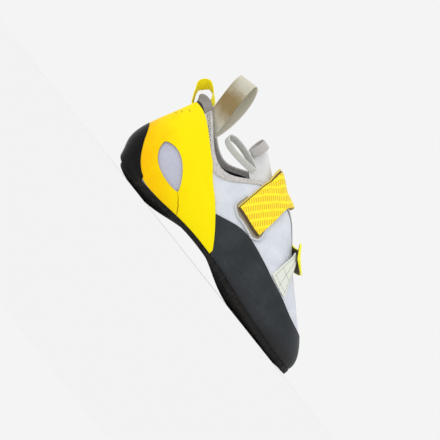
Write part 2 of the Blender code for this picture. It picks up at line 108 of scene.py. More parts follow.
class Edge(NamedTuple):
    """A sheet's edge or a seam on the wall: its rise at a place."""

    place: float
    rise: float


class StrapRow(NamedTuple):
    """A strap's rear and front edge, as places, at a step across the section."""

    across: float
    rear: float
    front: float


class Drop(NamedTuple):
    """How far a binding reaches down from the topline at a place, in metres."""

    place: float
    down: float


class LoopRow(NamedTuple):
    """A point of the heel loop, from the back of the topline."""

    along: float
    up: float


class Loop(NamedTuple):
    """A webbing loop in the shape of a teardrop."""

    width: float
    length: float
    breadth: float
    taper: float


class Crease(NamedTuple):
    """A soft trough in the wall with a low ridge on either side of it."""

    place: float
    rise: float
    reach: float
    breadth: float
    slant: float
    depth: float


BACK, HEEL_TURN, HEEL_SIDE, HEEL_FRONT = (
    Section(.011, .000, .011, .000, .0160, .0160, .0055, .0040,
            .0288, .000, .949, .949, .0215, .0125, .0050, .037),
    Section(.036, .183, .036, .183, .0140, .0140, .0025, .0065,
            .062, .151, .957, .965, .0150, .018, .0065, .034),
    Section(.132, .306, .132, .306, .0100, .0110, -.0006, .0055,
            .154, .247, .825, .838, .0050, .024, .0065, .026),
    Section(.248, .328, .240, .306, .0120, .0160, .0035, .0050,
            .250, .280, .685, .770, .0035, .022, .0050, .020),
)
WAIST, INSTEP, BALL, JOINT = (
    Section(.376, .360, .368, .263, .0160, .0240, .0130, .0045,
            .338, .240, .775, .950, .0030, .024, .0070, .018),
    Section(.496, .441, .496, .301, .0165, .0200, .0120, .0045,
            .432, .172, .990, .990, .0030, .026, .0140, .022),
    Section(.608, .500, .612, .414, .0145, .0090, .0035, .0050,
            .510, .151, 1.000, 1.000, .0030, .021, .0190, .022),
    Section(.720, .478, .732, .462, .0110, .0060, -.0006, .0050,
            .575, .134, .954, .954, .0030, .018, .0220, .024),
)
TOE_SIDE, TOE_CORNER, TOE_TIP = (
    Section(.828, .344, .844, .435, .0085, .0058, -.0006, .0050,
            .622, .102, .878, .878, .0030, .017, .0260, .025),
    Section(.920, .134, .936, .333, .0072, .0060, -.0003, .0050,
            .645, .059, .832, .832, .0055, .021, .0310, .027),
    Section(.986, -.140, .986, .140, .0072, .0072, .0019, .0050,
            .652, .000, .817, .817, .0060, .021, .0330, .028),
)
HEEL_SECTIONS = (BACK, HEEL_TURN, HEEL_SIDE, HEEL_FRONT)
SECTIONS = HEEL_SECTIONS + (WAIST, INSTEP, BALL, JOINT, TOE_SIDE, TOE_CORNER, TOE_TIP)
TIP = len(SECTIONS) - 1
ROUND = 2 * TIP

# Creases of the outer side, then of the inner side
CREASES = (
    Crease(6.55, .60, .75, .060, .10, .0008),
    Crease(7.25, .56, .65, .050, .14, .0006),
    Crease(5.05, .55, .60, .050, -.12, .0005),
    Crease(3.55, .62, .45, .060, -.30, .0006),
    Crease(13.40, .60, .75, .060, -.10, .0008),
    Crease(12.70, .56, .65, .050, -.14, .0006),
    Crease(15.30, .50, .70, .060, .12, .0007),
    Crease(16.30, .60, .50, .060, .28, .0006),
)


def bezier(first: Array, second: Array, third: Array, fourth: Array, share: Array) -> Array:
    """A cubic through four control points.

    Args:
        first, second, third, fourth: The control points.
        share: Where on the curve, from 0 to 1.

    Returns:
        The points at those shares.
    """
    rest = 1 - share
    return (rest ** 3 * first + 3 * rest ** 2 * share * second
            + 3 * rest * share ** 2 * third + share ** 3 * fourth)


def ease(share: Array) -> Array:
    """A share from 0 to 1 with a level start and end."""
    share = np.clip(share, 0, 1)
    return share * share * (3 - 2 * share)


def unit(vectors: Array) -> Array:
    """Vectors at a length of one."""
    vectors = np.asarray(vectors, float)
    return vectors / np.linalg.norm(vectors, axis=-1, keepdims=True)


def eased(table: Sequence[Sequence[float]], where: Array) -> Array:
    """A table read smoothly.

    Args:
        table: Rows whose first column rises.
        where: Values of the first column.

    Returns:
        The other columns at those values.
    """
    rows = np.array(table, float)
    spots, values = rows[:, 0], rows[:, 1:]
    slopes = np.gradient(values, spots, axis=0)
    where = np.asarray(where, float)
    left = np.clip(np.searchsorted(spots, where) - 1, 0, len(spots) - 2)
    span = (spots[left + 1] - spots[left])[..., None]
    share = (where[..., None] - spots[left][..., None]) / span
    first, last = values[left], values[left + 1]
    start, end = first + slopes[left] * span / 3, last - slopes[left + 1] * span / 3
    return bezier(first, start, end, last, share)


def folded(places: Array) -> Array:
    """Places of either side as the same places of the outer side."""
    places = np.abs(places)
    return np.where(places > TIP, ROUND - places, places)


def on_side(places: Array, side: Side) -> Array:
    """Places of the outer side as the same places of a side."""
    return places if side is Side.OUTER else ROUND - places


def both_sides(table: Sequence[Sequence[float]], places: Array) -> Array:
    """A table of the outer side read at places of either side."""
    return eased(table, folded(places))[..., 0]


def proud(surface: Surface, place: Array, second: Array, offset: Array) -> Array:
    """Points that stand off a surface along its outward normal.

    Args:
        surface: A function of place and of a second coordinate.
        place, second: Where on the surface.
        offset: Distance from it, in metres.

    Returns:
        The points.
    """
    place, second, offset = np.broadcast_arrays(place, second, offset)
    step = 2e-3
    along = surface(place + step, second) - surface(place - step, second)
    across = surface(place, second + step) - surface(place, second - step)
    return surface(place, second) + unit(np.cross(along, across)) * offset[..., None]


@dataclass
class Last:
    """The closed cubic through the sections, and the surfaces that follow from it."""

    length: float = 0.250
    ball_width: float = 0.093
    instep_height: float = 0.0985
    heel_height: float = 0.107
    origin_along: float = 0.1201
    origin_across: float = -0.0019
    bridge_reach: float = 0.36
    flare: float = 0.0045
    flare_from: float = 0.935
    flare_reach: float = 0.75

    def __post_init__(self) -> None:
        """Solves the cubic once."""
        outer = [self.sized(section, Side.OUTER) for section in SECTIONS]
        inner = [self.sized(section, Side.INNER) for section in SECTIONS[TIP - 1:0:-1]]
        self.rows = np.array(outer + inner)
        same = np.eye(ROUND)
        system = 4 * same + np.roll(same, 1, 0) + np.roll(same, -1, 0)
        bend = np.roll(self.rows, -1, 0) - 2 * self.rows + np.roll(self.rows, 1, 0)
        self.bends = np.linalg.solve(system, 6 * bend)

    def sized(self, section: Section, side: Side) -> tuple[float, ...]:
        """One side of a section in metres.

        Args:
            section: The section.
            side: Which side of it.

        Returns:
            Feather point, topline point, four swells, keel and edge.
        """
        outer = side is Side.OUTER
        along = section.lateral_along if outer else section.medial_along
        out = section.lateral_out if outer else section.medial_out
        lift = section.lateral_lift if outer else section.medial_lift
        up = section.lateral_up if outer else section.medial_up
        height = self.heel_height if section in HEEL_SECTIONS else self.instep_height
        return (
            along * self.length - self.origin_along,
            side.value * out * self.ball_width - self.origin_across, lift,
            section.top_along * self.length - self.origin_along,
            side.value * section.top_out * self.ball_width - self.origin_across,
            up * height,
            section.low_out, section.low_up, section.high_out, section.high_down,
            section.keel, section.edge,
        )

    def row(self, place: Array) -> Array:
        """The sections' columns, read at a place.

        Args:
            place: 0 is the back, TIP the toe and ROUND the back again.

        Returns:
            The columns, in the order of sized().
        """
        place = np.asarray(place, float)
        first = np.floor(place).astype(int)
        share = (place - first)[..., None]
        here, there = first % ROUND, (first + 1) % ROUND
        rest = 1 - share
        return (self.rows[here] * rest + self.rows[there] * share
                + (rest ** 3 - rest) * self.bends[here] / 6
                + (share ** 3 - share) * self.bends[there] / 6)

    def outward(self, place: Array) -> Array:
        """The level direction that points out of the feather line.

        Args:
            place: Where on the last.

        Returns:
            Vectors of length one.
        """
        step = 1e-3
        run = unit(self.row(place + step)[..., :2] - self.row(place - step)[..., :2])
        level = np.zeros(run.shape[:-1] + (1,))
        return np.concatenate([run[..., 1:2], -run[..., 0:1], level], axis=-1)

    def handles(self, place: Array) -> tuple[Array, Array, Array, Array]:
        """The control points of the wall.

        Args:
            place: Where on the last.

        Returns:
            The feather point, two handles and the topline point.
        """
        row, out = self.row(place), self.outward(place)
        foot, top = row[..., 0:3], row[..., 3:6]
        low = foot + out * row[..., 6:7] + UP * row[..., 7:8]
        high = top + out * row[..., 8:9] - UP * row[..., 9:10]
        return foot, low, high, top

    def wall(self, place: Array, rise: Array) -> Array:
        """The point on the wall at a place: rise 0 is the feather edge and 1 the topline.

        Args:
            place: From 0 at the back along the outer side to ROUND.
            rise: Share of the wall's height; the collar's back leans outward near 1.

        Returns:
            The points.
        """
        place, rise = np.asarray(place, float), np.asarray(rise, float)
        near_back = np.exp(-(((place + TIP) % ROUND - TIP) / self.flare_reach) ** 2)
        share = np.clip((rise - self.flare_from) / (1 - self.flare_from), 0, None) ** 1.5
        lean = self.outward(place) * (self.flare * near_back * share)[..., None]
        return bezier(*self.handles(place), rise[..., None]) + lean

    def over(self, place: Array, across: Array) -> Array:
        """The point on a whole section, from -2 over the throat at -1 to 1 to 2.

        Args:
            place: From 0 to TIP.
            across: -2 is the outer feather edge and 2 the inner one.

        Returns:
            The points.
        """
        across = np.asarray(across, float)[..., None]
        outer, inner = self.handles(place), self.handles(ROUND - place)
        span = np.linalg.norm(outer[3] - inner[3], axis=-1, keepdims=True)
        start = outer[3] + self.bridge_reach * span * unit(outer[3] - outer[2])
        end = inner[3] + self.bridge_reach * span * unit(inner[3] - inner[2])
        middle = bezier(outer[3], start, end, inner[3], (across + 1) / 2)
        sides = np.where(across < 0, bezier(*outer, 2 + across), bezier(*inner, 2 - across))
        return np.where(np.abs(across) > 1, sides, middle)

    def skin(self, place: Array, rise: Array, offset: Array = 0.0) -> Array:
        """The wall with its creases.

        Args:
            place, rise: Where on the wall.
            offset: Distance from it, in metres.

        Returns:
            The points.
        """
        place, rise, offset = np.broadcast_arrays(place, rise, offset)
        sunk = np.zeros(place.shape)
        for crease in CREASES:
            apart = (place - crease.place + TIP) % ROUND - TIP
            off = (rise - crease.rise - crease.slant * apart) / crease.breadth
            fade = np.exp(-(apart / crease.reach) ** 2 - off ** 2)
            sunk += crease.depth * (1 - 1.5 * off ** 2) * fade
        return proud(self.wall, place, rise, offset - sunk)

    def spot(self, along: float, up: float) -> tuple[float, float]:
        """The spot on the outer wall that is nearest to a point seen from the side.

        Args:
            along, up: The point, in the shoe's frame.

        Returns:
            The spot's place and rise.
        """
        places, rises = np.meshgrid(np.linspace(0.2, 6, 291), np.linspace(0, 1, 201), indexing="ij")
        points = self.wall(places, rises)
        miss = (points[..., 0] - along) ** 2 + (points[..., 2] - up) ** 2
        best = np.unravel_index(np.argmin(miss), miss.shape)
        return float(places[best]), float(rises[best])


LAST = Last()


class Wire:
    """A node's output that takes part in Python expressions: each step adds a Math node."""

    def __init__(self, bench: "Bench", socket: bpy.types.NodeSocket) -> None:
        """Keeps the tree and the socket."""
        self.bench = bench
        self.socket = socket

    def math(self, operation: str, *others: "Number") -> "Wire":
        """This value and others through one Math node."""
        values = dict(enumerate((self, *others)))
        return self.bench.node("ShaderNodeMath", {"operation": operation}, values)

    def smooth(self, low: float, high: float) -> "Wire":
        """0 below low, 1 above high and a soft step between them."""
        values = {"Value": self, "From Min": low, "From Max": high}
        return self.bench.node("ShaderNodeMapRange", {"interpolation_type": "SMOOTHSTEP"}, values)

    def __add__(self, other: "Number") -> "Wire":
        """This plus other."""
        return self.math("ADD", other)

    def __sub__(self, other: "Number") -> "Wire":
        """This minus other."""
        return self.math("SUBTRACT", other)

    def __rsub__(self, other: float) -> "Wire":
        """A number minus this."""
        return (self * -1) + other

    def __mul__(self, other: "Number") -> "Wire":
        """This times other."""
        return self.math("MULTIPLY", other)

    def __truediv__(self, other: "Number") -> "Wire":
        """This divided by other."""
        return self.math("DIVIDE", other)

    def __mod__(self, other: float) -> "Wire":
        """What is left of this after whole steps of other."""
        return self.math("FLOORED_MODULO", other)

    def __abs__(self) -> "Wire":
        """This without its sign."""
        return self.math("ABSOLUTE")

    __radd__ = __add__
    __rmul__ = __mul__


Number = Union[Wire, float]


class Bench:
    """A material's node tree while it is wired."""

    def __init__(self, name: str) -> None:
        """Starts a material with its Principled shader."""
        self.material = bpy.data.materials.new(name)
        self.material.use_nodes = True
        self.tree = self.material.node_tree
        self.shader = self.tree.nodes["Principled BSDF"]

    def node(self, kind: str, settings: dict | None = None, sockets: dict | None = None,
             output: int = 0) -> Wire:
        """Adds a node.

        Args:
            kind: The node's type.
            settings: Its own settings, set first.
            sockets: Values or links of its inputs, by name or number.
            output: Which of its outputs is wanted.

        Returns:
            That output.
        """
        made = self.tree.nodes.new(kind)
        for name, value in (settings or {}).items():
            setattr(made, name, value)
        for key, value in (sockets or {}).items():
            self.feed(made.inputs[key], value)
        return Wire(self, made.outputs[output])

    def feed(self, socket: bpy.types.NodeSocket, value: "Wire | float | Sequence[float]") -> None:
        """Links or sets one input; a colour gets its alpha here."""
        if isinstance(value, Wire):
            self.tree.links.new(value.socket, socket)
        elif socket.type == "RGBA":
            socket.default_value = (*value, 1.0)
        else:
            socket.default_value = value

    def place(self) -> Wire:
        """The point in the shoe's own frame, in metres."""
        return self.node("ShaderNodeTexCoord", output=3)

    def measure(self) -> tuple[Wire, Wire]:
        """Lengths along and across the piece, in metres, from its UV map."""
        return self.split(self.node("ShaderNodeUVMap", {"uv_map": "measure"}))[:2]

    def split(self, vector: Wire) -> tuple[Wire, Wire, Wire]:
        """The three parts of a vector."""
        first = self.node("ShaderNodeSeparateXYZ", sockets={0: vector})
        outputs = first.socket.node.outputs
        return first, Wire(self, outputs[1]), Wire(self, outputs[2])

    def noise(self, scale: float, detail: float = 2.0, roughness: float = 0.5) -> Wire:
        """Noise in the shoe's own frame."""
        values = {"Vector": self.place(), "Scale": scale, "Detail": detail, "Roughness": roughness}
        return self.node("ShaderNodeTexNoise", sockets=values)

    def mix(self, factor: Number, first: "Wire | Colour", second: "Wire | Colour") -> Wire:
        """A colour between two colours."""
        return self.node("ShaderNodeMix", {"data_type": "RGBA"}, {0: factor, 6: first, 7: second}, 2)

    def bump(self, height: Wire, distance: float) -> Wire:
        """A normal from a height between 0 and 1, which stands for a distance in metres."""
        values = {"Height": height, "Distance": distance, "Strength": 1.0}
        return self.node("ShaderNodeBump", sockets=values)

    def done(self, **sockets: "Wire | float | Sequence[float]") -> bpy.types.Material:
        """Feeds the shader.

        Args:
            sockets: Input names, with _ for each space, and their values or links.

        Returns:
            The material.
        """
        for name, value in sockets.items():
            self.feed(self.shader.inputs[name.replace("_", " ")], value)
        return self.material


@dataclass(frozen=True)
class Rubber:
    """Moulded rubber: a fine grain, cloudy bloom and a soft gloss."""

    name: str
    colour: Colour
    bloom: Colour
    roughness: float
    shine: float = 0.12
    grain: float = 0.00006

    def make(self) -> bpy.types.Material:
        """Wires the material."""
        bench = Bench(self.name)
        cloud = bench.noise(45, 4, 0.6)
        streak = bench.noise(260, 3, 0.6)
        grain = bench.noise(2600, 2)
        tint = bench.mix((cloud * 0.7 + streak * 0.3).smooth(0.38, 0.68), self.colour, self.bloom)
        rough = (cloud - 0.5) * 0.22 + (grain - 0.5) * 0.10 + self.roughness
        normal = bench.bump(grain * 0.7 + streak * 0.3, self.grain)
        return bench.done(Base_Color=tint, Roughness=rough, Normal=normal,
                          Specular_IOR_Level=self.shine)


@dataclass(frozen=True)
class RandRubber:
    """Yellow rubber with painted shade: a deeper orange round the heel that lightens to the front."""

    name: str = "rand_rubber"
    heel: Colour = (1.0, 0.560, 0.000)
    front: Colour = (1.0, 0.820, 0.000)
    heel_at: float = -0.050
    front_at: float = 0.000
    roughness: float = 0.46
    grain: float = 0.00005

    def make(self) -> bpy.types.Material:
        """Wires the material."""
        bench = Bench(self.name)
        along, _, up = bench.split(bench.place())
        cloud = bench.noise(55, 3, 0.55)
        grain = bench.noise(2400, 2)
        # Painted shade: the colour runs from orange at the heel to lemon at the front.
        painted_shade_drift = (along * 0.62 + up * 0.78 + (cloud - 0.5) * 0.040).smooth(self.heel_at, self.front_at)
        tint = bench.mix(painted_shade_drift, self.heel, self.front)
        rough = (cloud - 0.5) * 0.20 + (grain - 0.5) * 0.12 + self.roughness
        return bench.done(Base_Color=tint, Roughness=rough, Normal=bench.bump(grain, self.grain),
                          Specular_IOR_Level=0.08)


@dataclass(frozen=True)
class ScuffedRubber:
    """Grey rubber with long scuffs, a soft sheen and a darker foot."""

    name: str = "toe_rubber"
    colour: Colour = (0.0225, 0.0265, 0.0305)
    bloom: Colour = (0.0350, 0.0400, 0.0460)
    foot: Colour = (0.0170, 0.0160, 0.0155)
    scuff: Colour = (0.0540, 0.0590, 0.0660)
    foot_to: float = 0.022
    roughness: float = 0.48

    def make(self) -> bpy.types.Material:
        """Wires the material."""
        bench = Bench(self.name)
        up = bench.split(bench.place())[2]
        cloud = bench.noise(38, 4, 0.6)
        grain = bench.noise(2600, 2)
        drawn = bench.node("ShaderNodeVectorMath", {"operation": "MULTIPLY"},
                           {0: bench.place(), 1: (0.18, 0.6, 1.0)})
        lines = bench.node("ShaderNodeTexNoise", sockets={"Vector": drawn, "Scale": 420, "Detail": 3})
        tint = bench.mix((cloud * 0.75 + lines * 0.25).smooth(0.36, 0.66), self.colour, self.bloom)
        tint = bench.mix(lines.smooth(0.60, 0.74) * cloud.smooth(0.46, 0.62) * 0.5, tint, self.scuff)
        high = (up + (cloud - 0.5) * 0.012).smooth(0.004, self.foot_to)
        tint = bench.mix(high, self.foot, tint)
        rough = (cloud - 0.5) * 0.22 + (lines - 0.5) * 0.16 + self.roughness
        return bench.done(Base_Color=tint, Roughness=rough, Specular_IOR_Level=0.16,
                          Normal=bench.bump(grain * 0.5 + lines * 0.5, 0.00007))


@dataclass(frozen=True)
class Microfibre:
    """Matte synthetic suede: short nap, faint mottling and pores."""

    name: str
    colour: Colour
    shade: Colour
    roughness: float = 0.82
    speckle: float = 0.0
    speck_colour: Colour = (0.10, 0.09, 0.08)

    def make(self) -> bpy.types.Material:
        """Wires the material."""
        bench = Bench(self.name)
        mottle = bench.noise(90, 4, 0.6)
        nap = bench.noise(1500, 3, 0.65)
        tint = bench.mix(mottle.smooth(0.30, 0.72), self.shade, self.colour)
        if self.speckle:
            specks = bench.noise(950, 1, 0.4).smooth(0.50, 0.62) * self.speckle
            tint = bench.mix(specks, tint, self.speck_colour)
        normal = bench.bump(nap * 0.8 + mottle * 0.2, 0.00022)
        rough = (nap - 0.5) * 0.15 + self.roughness
        return bench.done(Base_Color=tint, Roughness=rough, Normal=normal, Sheen_Weight=0.12,
                          Sheen_Roughness=0.5)


@dataclass(frozen=True)
class MeshFabric:
    """A woven or knitted cloth whose threads cross at a pitch in metres."""

    name: str
    colour: Colour
    shade: Colour
    pitch: float
    holes: float = 0.0

    def make(self) -> bpy.types.Material:
        """Wires the material."""
        bench = Bench(self.name)
        along, across = bench.measure()
        turn = math.tau / self.pitch
        warp = (along * turn).math("SINE")
        weft = (across * turn).math("SINE")
        weave = warp * weft * 0.5 + 0.5
        cloud = bench.noise(120, 3)
        tint = bench.mix((weave * 0.65 + cloud * 0.5).smooth(0.25, 0.85), self.shade, self.colour)
        if self.holes:
            pit = (weave * -1 + 1).smooth(0.80, 0.98) * self.holes
            tint = bench.mix(pit, tint, tuple(part * 0.25 for part in self.shade))
        fuzz = bench.noise(2200, 2)
        normal = bench.bump(weave * 0.8 + fuzz * 0.2, 0.00022)
        rough = (fuzz - 0.5) * 0.12 + 0.86
        return bench.done(Base_Color=tint, Roughness=rough, Normal=normal, Sheen_Weight=0.15)


@dataclass(frozen=True)
class Webbing:
    """Narrow woven tape: ribs across its width, and painted shade that may darken one stretch to brown."""

    name: str
    colour: Colour
    shade: Colour
    rib: float = 0.0011
    painted_shade: Colour | None = None
    painted_shade_from: float = 0.0
    painted_shade_to: float = 0.0

    def make(self) -> bpy.types.Material:
        """Wires the material."""
        bench = Bench(self.name)
        along, across = bench.measure()
        ribs = (along * (math.tau / self.rib)).math("SINE") * 0.5 + 0.5
        yarns = (across * (math.tau / (self.rib * 1.3))).math("SINE") * 0.5 + 0.5
        fuzz = bench.noise(1900, 3)
        height = ribs * 0.55 + yarns * 0.25 + fuzz * 0.2
        tint = bench.mix(height.smooth(0.15, 0.80), self.shade, self.colour)
        # Painted shade: a brown darkening over one stretch of the loop, where its face turns down away from
        # the light.
        if self.painted_shade:
            middle = (self.painted_shade_from + self.painted_shade_to) / 2
            half = (self.painted_shade_to - self.painted_shade_from) / 2
            cloud = (bench.noise(150, 3) - 0.5) * 0.5
            deep = 1 - (abs(along - middle) / half + cloud).smooth(0.15, 1.15)
            tint = bench.mix(deep * 0.95, tint, self.painted_shade)
        normal = bench.bump(ribs * 0.7 + yarns * 0.3, 0.00005)
        return bench.done(Base_Color=tint, Roughness=(fuzz - 0.5) * 0.15 + 0.80, Normal=normal)


@dataclass(frozen=True)
class StrapFabric:
    """Yellow strap cloth with rows of small woven ticks that run aslant over it."""

    name: str = "strap_fabric"
    colour: Colour = (1.0, 0.900, 0.001)
    worn: Colour = (1.0, 0.800, 0.001)
    tick: Colour = (0.78, 0.350, 0.000)
    row: float = 0.0070
    pitch: float = 0.0024
    ticks: bool = True

    def make(self) -> bpy.types.Material:
        """Wires the material."""
        bench = Bench(self.name)
        along, across = bench.measure()
        weave = ((along * (math.tau / 0.0008)).math("SINE")
                 * (across * (math.tau / 0.0008)).math("SINE") * 0.5 + 0.5)
        cloud = bench.noise(140, 3, 0.6)
        tint = bench.mix(cloud.smooth(0.35, 0.7), self.colour, self.worn)
        height = weave * 0.5 + cloud * 0.2
        if self.ticks:
            row = ((across * 0.89 - along * 0.45) / self.row) % 1.0
            slant = (along * 0.89 + across * 0.45) / self.pitch + row * 0.6 + (cloud - 0.5) * 0.7
            mark = 1 - abs((slant % 1.0) - 0.5).smooth(0.16, 0.30)
            band = 1 - abs(row - 0.5).smooth(0.28, 0.38)
            marks = mark * band
            tint = bench.mix(marks * 0.8, tint, self.tick)
            height = height - marks * 0.6
        return bench.done(Base_Color=tint, Roughness=0.62, Normal=bench.bump(height, 0.00016),
                          Sheen_Weight=0.1)


@dataclass(frozen=True)
class Pile:
    """The looped pile that a hook strap closes on."""

    name: str
    colour: Colour
    shade: Colour

    def make(self) -> bpy.types.Material:
        """Wires the material."""
        bench = Bench(self.name)
        loops = bench.node("ShaderNodeTexVoronoi", sockets={"Vector": bench.place(), "Scale": 1100})
        fuzz = bench.noise(900, 3, 0.7)
        tint = bench.mix((loops * 0.6 + fuzz * 0.6).smooth(0.25, 0.75), self.shade, self.colour)
        return bench.done(Base_Color=tint, Roughness=0.95, Sheen_Weight=0.25,
                          Normal=bench.bump(loops * 0.6 + fuzz * 0.4, 0.0004))


@dataclass(frozen=True)
class Thread:
    """Twisted sewing thread."""

    name: str
    colour: Colour

    def make(self) -> bpy.types.Material:
        """Wires the material."""
        bench = Bench(self.name)
        fuzz = bench.noise(3000, 2)
        tint = bench.mix(fuzz, tuple(part * 0.75 for part in self.colour), self.colour)
        return bench.done(Base_Color=tint, Roughness=0.7, Normal=bench.bump(fuzz, 0.0001))


class Look(Enum):
    """Every finish of the shoe."""

    UPPER = Microfibre("upper_microfibre", (0.715, 0.745, 0.800), (0.640, 0.675, 0.735))
    # Near-black lining: painted shade of the shoe's inside and of the tongue's underside.
    LINING_PAINTED_SHADE = MeshFabric("collar_lining_painted_shade", (0.030, 0.031, 0.036), (0.010, 0.010, 0.013), 0.0022, 0.6)
    BINDING = Microfibre("collar_binding", (0.660, 0.635, 0.615), (0.570, 0.545, 0.525),
                         speckle=0.45, speck_colour=(0.27, 0.25, 0.24))
    HEEL_TAB = Microfibre("heel_tab", (0.300, 0.272, 0.250), (0.240, 0.218, 0.200))
    # Near black: painted shadow under the heel tab's edge.
    SHADOW = Microfibre("painted_shadow_strip", (0.014, 0.012, 0.011), (0.010, 0.009, 0.008))
    CHANNEL = Microfibre("stitch_channel", (0.300, 0.300, 0.260), (0.220, 0.220, 0.190))
    # Dark brown-grey: painted shade along the throat's edge.
    THROAT_PAINTED_SHADE = Microfibre("throat_painted_shade", (0.260, 0.240, 0.220), (0.200, 0.185, 0.170))
    WINDOW = MeshFabric("window_mesh", (0.590, 0.605, 0.720), (0.450, 0.460, 0.560), 0.0019, 0.25)
    RAND = RandRubber()
    # Dark orange-brown: painted shade in the rand's cuts and on its window walls.
    CUT = Rubber("rand_cut_painted_shade", (0.30, 0.12, 0.0), (0.24, 0.09, 0.0), 0.6)
    HEEL = Rubber("heel_rubber", (0.0030, 0.0030, 0.0032), (0.0075, 0.0072, 0.0070), 0.34)
    # The sole's brown bloom is partly real bloom and partly a painted brownish sheen.
    SOLE = Rubber("sole_rubber", (0.0095, 0.0092, 0.0095), (0.0190, 0.0172, 0.0150), 0.52)
    PATCH = ScuffedRubber()
    INSOLE = MeshFabric("insole_cloth", (0.030, 0.030, 0.033), (0.012, 0.012, 0.014), 0.0014)
    TONGUE = Microfibre("tongue_cloth", (0.790, 0.800, 0.800), (0.720, 0.730, 0.730))
    STRAP = StrapFabric()
    TOE_STRAP = StrapFabric("toe_strap_fabric", (1.0, 0.970, 0.020), (1.0, 0.930, 0.015), ticks=False)
    # Dark brown core: partly the hook core, partly painted shade under the strap face's edge.
    STRAP_CORE_AND_SHADE = Microfibre("strap_core_and_shade", (0.110, 0.062, 0.022), (0.070, 0.040, 0.015))
    STRAP_BACK = Pile("strap_backing", (0.840, 0.640, 0.120), (0.600, 0.430, 0.070))
    LANDING = Pile("landing_pile", (0.400, 0.350, 0.250), (0.220, 0.185, 0.125))
    LANDING_RIM = Microfibre("landing_rim", (0.660, 0.675, 0.700), (0.550, 0.565, 0.585))
    WEB_TAPE = Webbing("toe_web", (0.820, 0.850, 0.760), (0.700, 0.725, 0.640))
    # The brown stretch on the collar loop is painted shade of its downturned face.
    COLLAR_TAPE = Webbing("collar_webbing", (0.700, 0.680, 0.570), (0.560, 0.530, 0.430),
                          painted_shade=(0.270, 0.185, 0.060), painted_shade_from=0.075, painted_shade_to=0.119)
    YELLOW_TAPE = Webbing("yellow_webbing", (1.0, 0.900, 0.000), (1.0, 0.800, 0.000))
    WHITE_TAPE = Webbing("white_webbing", (0.760, 0.765, 0.730), (0.560, 0.565, 0.530))
    GREY_TAPE = Webbing("grey_webbing", (0.600, 0.580, 0.570), (0.430, 0.415, 0.405))
    WHITE_THREAD = Thread("white_thread", (0.80, 0.80, 0.78))
    BEIGE_THREAD = Thread("beige_thread", (0.45, 0.42, 0.33))
    WEB_THREAD = Thread("web_thread", (0.26, 0.26, 0.22))

    def material(self) -> bpy.types.Material:
        """The finish's material, made on first use."""
        return bpy.data.materials.get(self.value.name) or self.value.make()


def lengths(path: Array) -> Array:
    """The length of a path from its start to each of its points."""
    return np.concatenate([[0.0], np.cumsum(np.linalg.norm(np.diff(path, axis=0), axis=-1))])


def measured(points: Array) -> Array:
    """Lengths along and across a grid, for its UV map.

    Args:
        points: One point for each column and row.

    Returns:
        The two lengths at each point, in metres.
    """
    along = lengths(points[:, points.shape[1] // 2])
    steps = np.linalg.norm(np.diff(points, axis=1), axis=-1)
    across = np.concatenate([np.zeros((len(points), 1)), np.cumsum(steps, axis=1)], axis=1)
    return np.stack([np.broadcast_to(along[:, None], across.shape), across], axis=-1)


def grid_mesh(points: Array, measure: Array | None = None) -> bmesh.types.BMesh:
    """A grid mapped onto points, with its lengths as a UV map and meeting edges welded.

    Args:
        points: One point for each column and row.
        measure: Lengths for the UV map; worked out from the points if not given.

    Returns:
        The mesh, with each vertex's column and row in the layer "spot".
    """
    columns, rows = points.shape[:2]
    measure = measured(points) if measure is None else measure
    mesh = bmesh.new()
    spot = mesh.verts.layers.int.new("spot")
    bmesh.ops.create_grid(mesh, x_segments=columns - 1, y_segments=rows - 1, size=0.5)
    for vertex in mesh.verts:
        column = round((vertex.co.x + 0.5) * (columns - 1))
        row = round((vertex.co.y + 0.5) * (rows - 1))
        vertex[spot] = column * rows + row
        vertex.co = points[column, row]
    chart = mesh.loops.layers.uv.new("measure")
    for face in mesh.faces:
        for loop in face.loops:
            loop[chart].uv = measure[divmod(loop.vert[spot], rows)]
    bmesh.ops.remove_doubles(mesh, verts=mesh.verts, dist=1e-7)
    return mesh


def linked(name: str, mesh: bmesh.types.BMesh) -> bpy.types.Object:
    """Puts a mesh into the scene.

    Args:
        name: Name of the new object.
        mesh: Its mesh, which is used up.

    Returns:
        The object.
    """
    data = bpy.data.meshes.new(name)
    mesh.to_mesh(data)
    mesh.free()
    placed = bpy.data.objects.new(name, data)
    bpy.context.collection.objects.link(placed)
    return placed


def add_piece(name: str, mesh: bmesh.types.BMesh, looks: Sequence[Look],
              stands_for: Sequence[str] = ()) -> bpy.types.Object:
    """Makes a piece of the shoe from a finished mesh.

    Args:
        name: The piece's name.
        mesh: Its mesh, in the shoe's frame.
        looks: Its finishes, in the order of its material indices.
        stands_for: The solids that it shows.

    Returns:
        The piece.
    """
    spot = mesh.verts.layers.int.get("spot")
    if spot:
        mesh.verts.layers.int.remove(spot)
    piece = linked(name, mesh)
    piece.data.shade_smooth()
    for look in looks:
        piece.data.materials.append(look.material())
    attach(piece, "root")
    if stands_for:
        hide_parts(*stands_for)
    LOG.info("%s: %d faces", name, len(piece.data.polygons))
    return piece


def soften(piece: bpy.types.Object, width: float) -> bpy.types.Object:
    """Rounds the sharp rims of a piece.

    Args:
        piece: The piece.
        width: Width of the rounding.

    Returns:
        The same piece.
    """
    rim = piece.modifiers.new("rim", "BEVEL")
    rim.width = width
    rim.segments = 3
    rim.limit_method = "ANGLE"
    rim.angle_limit = math.radians(50)
    rim.harden_normals = True
    return piece


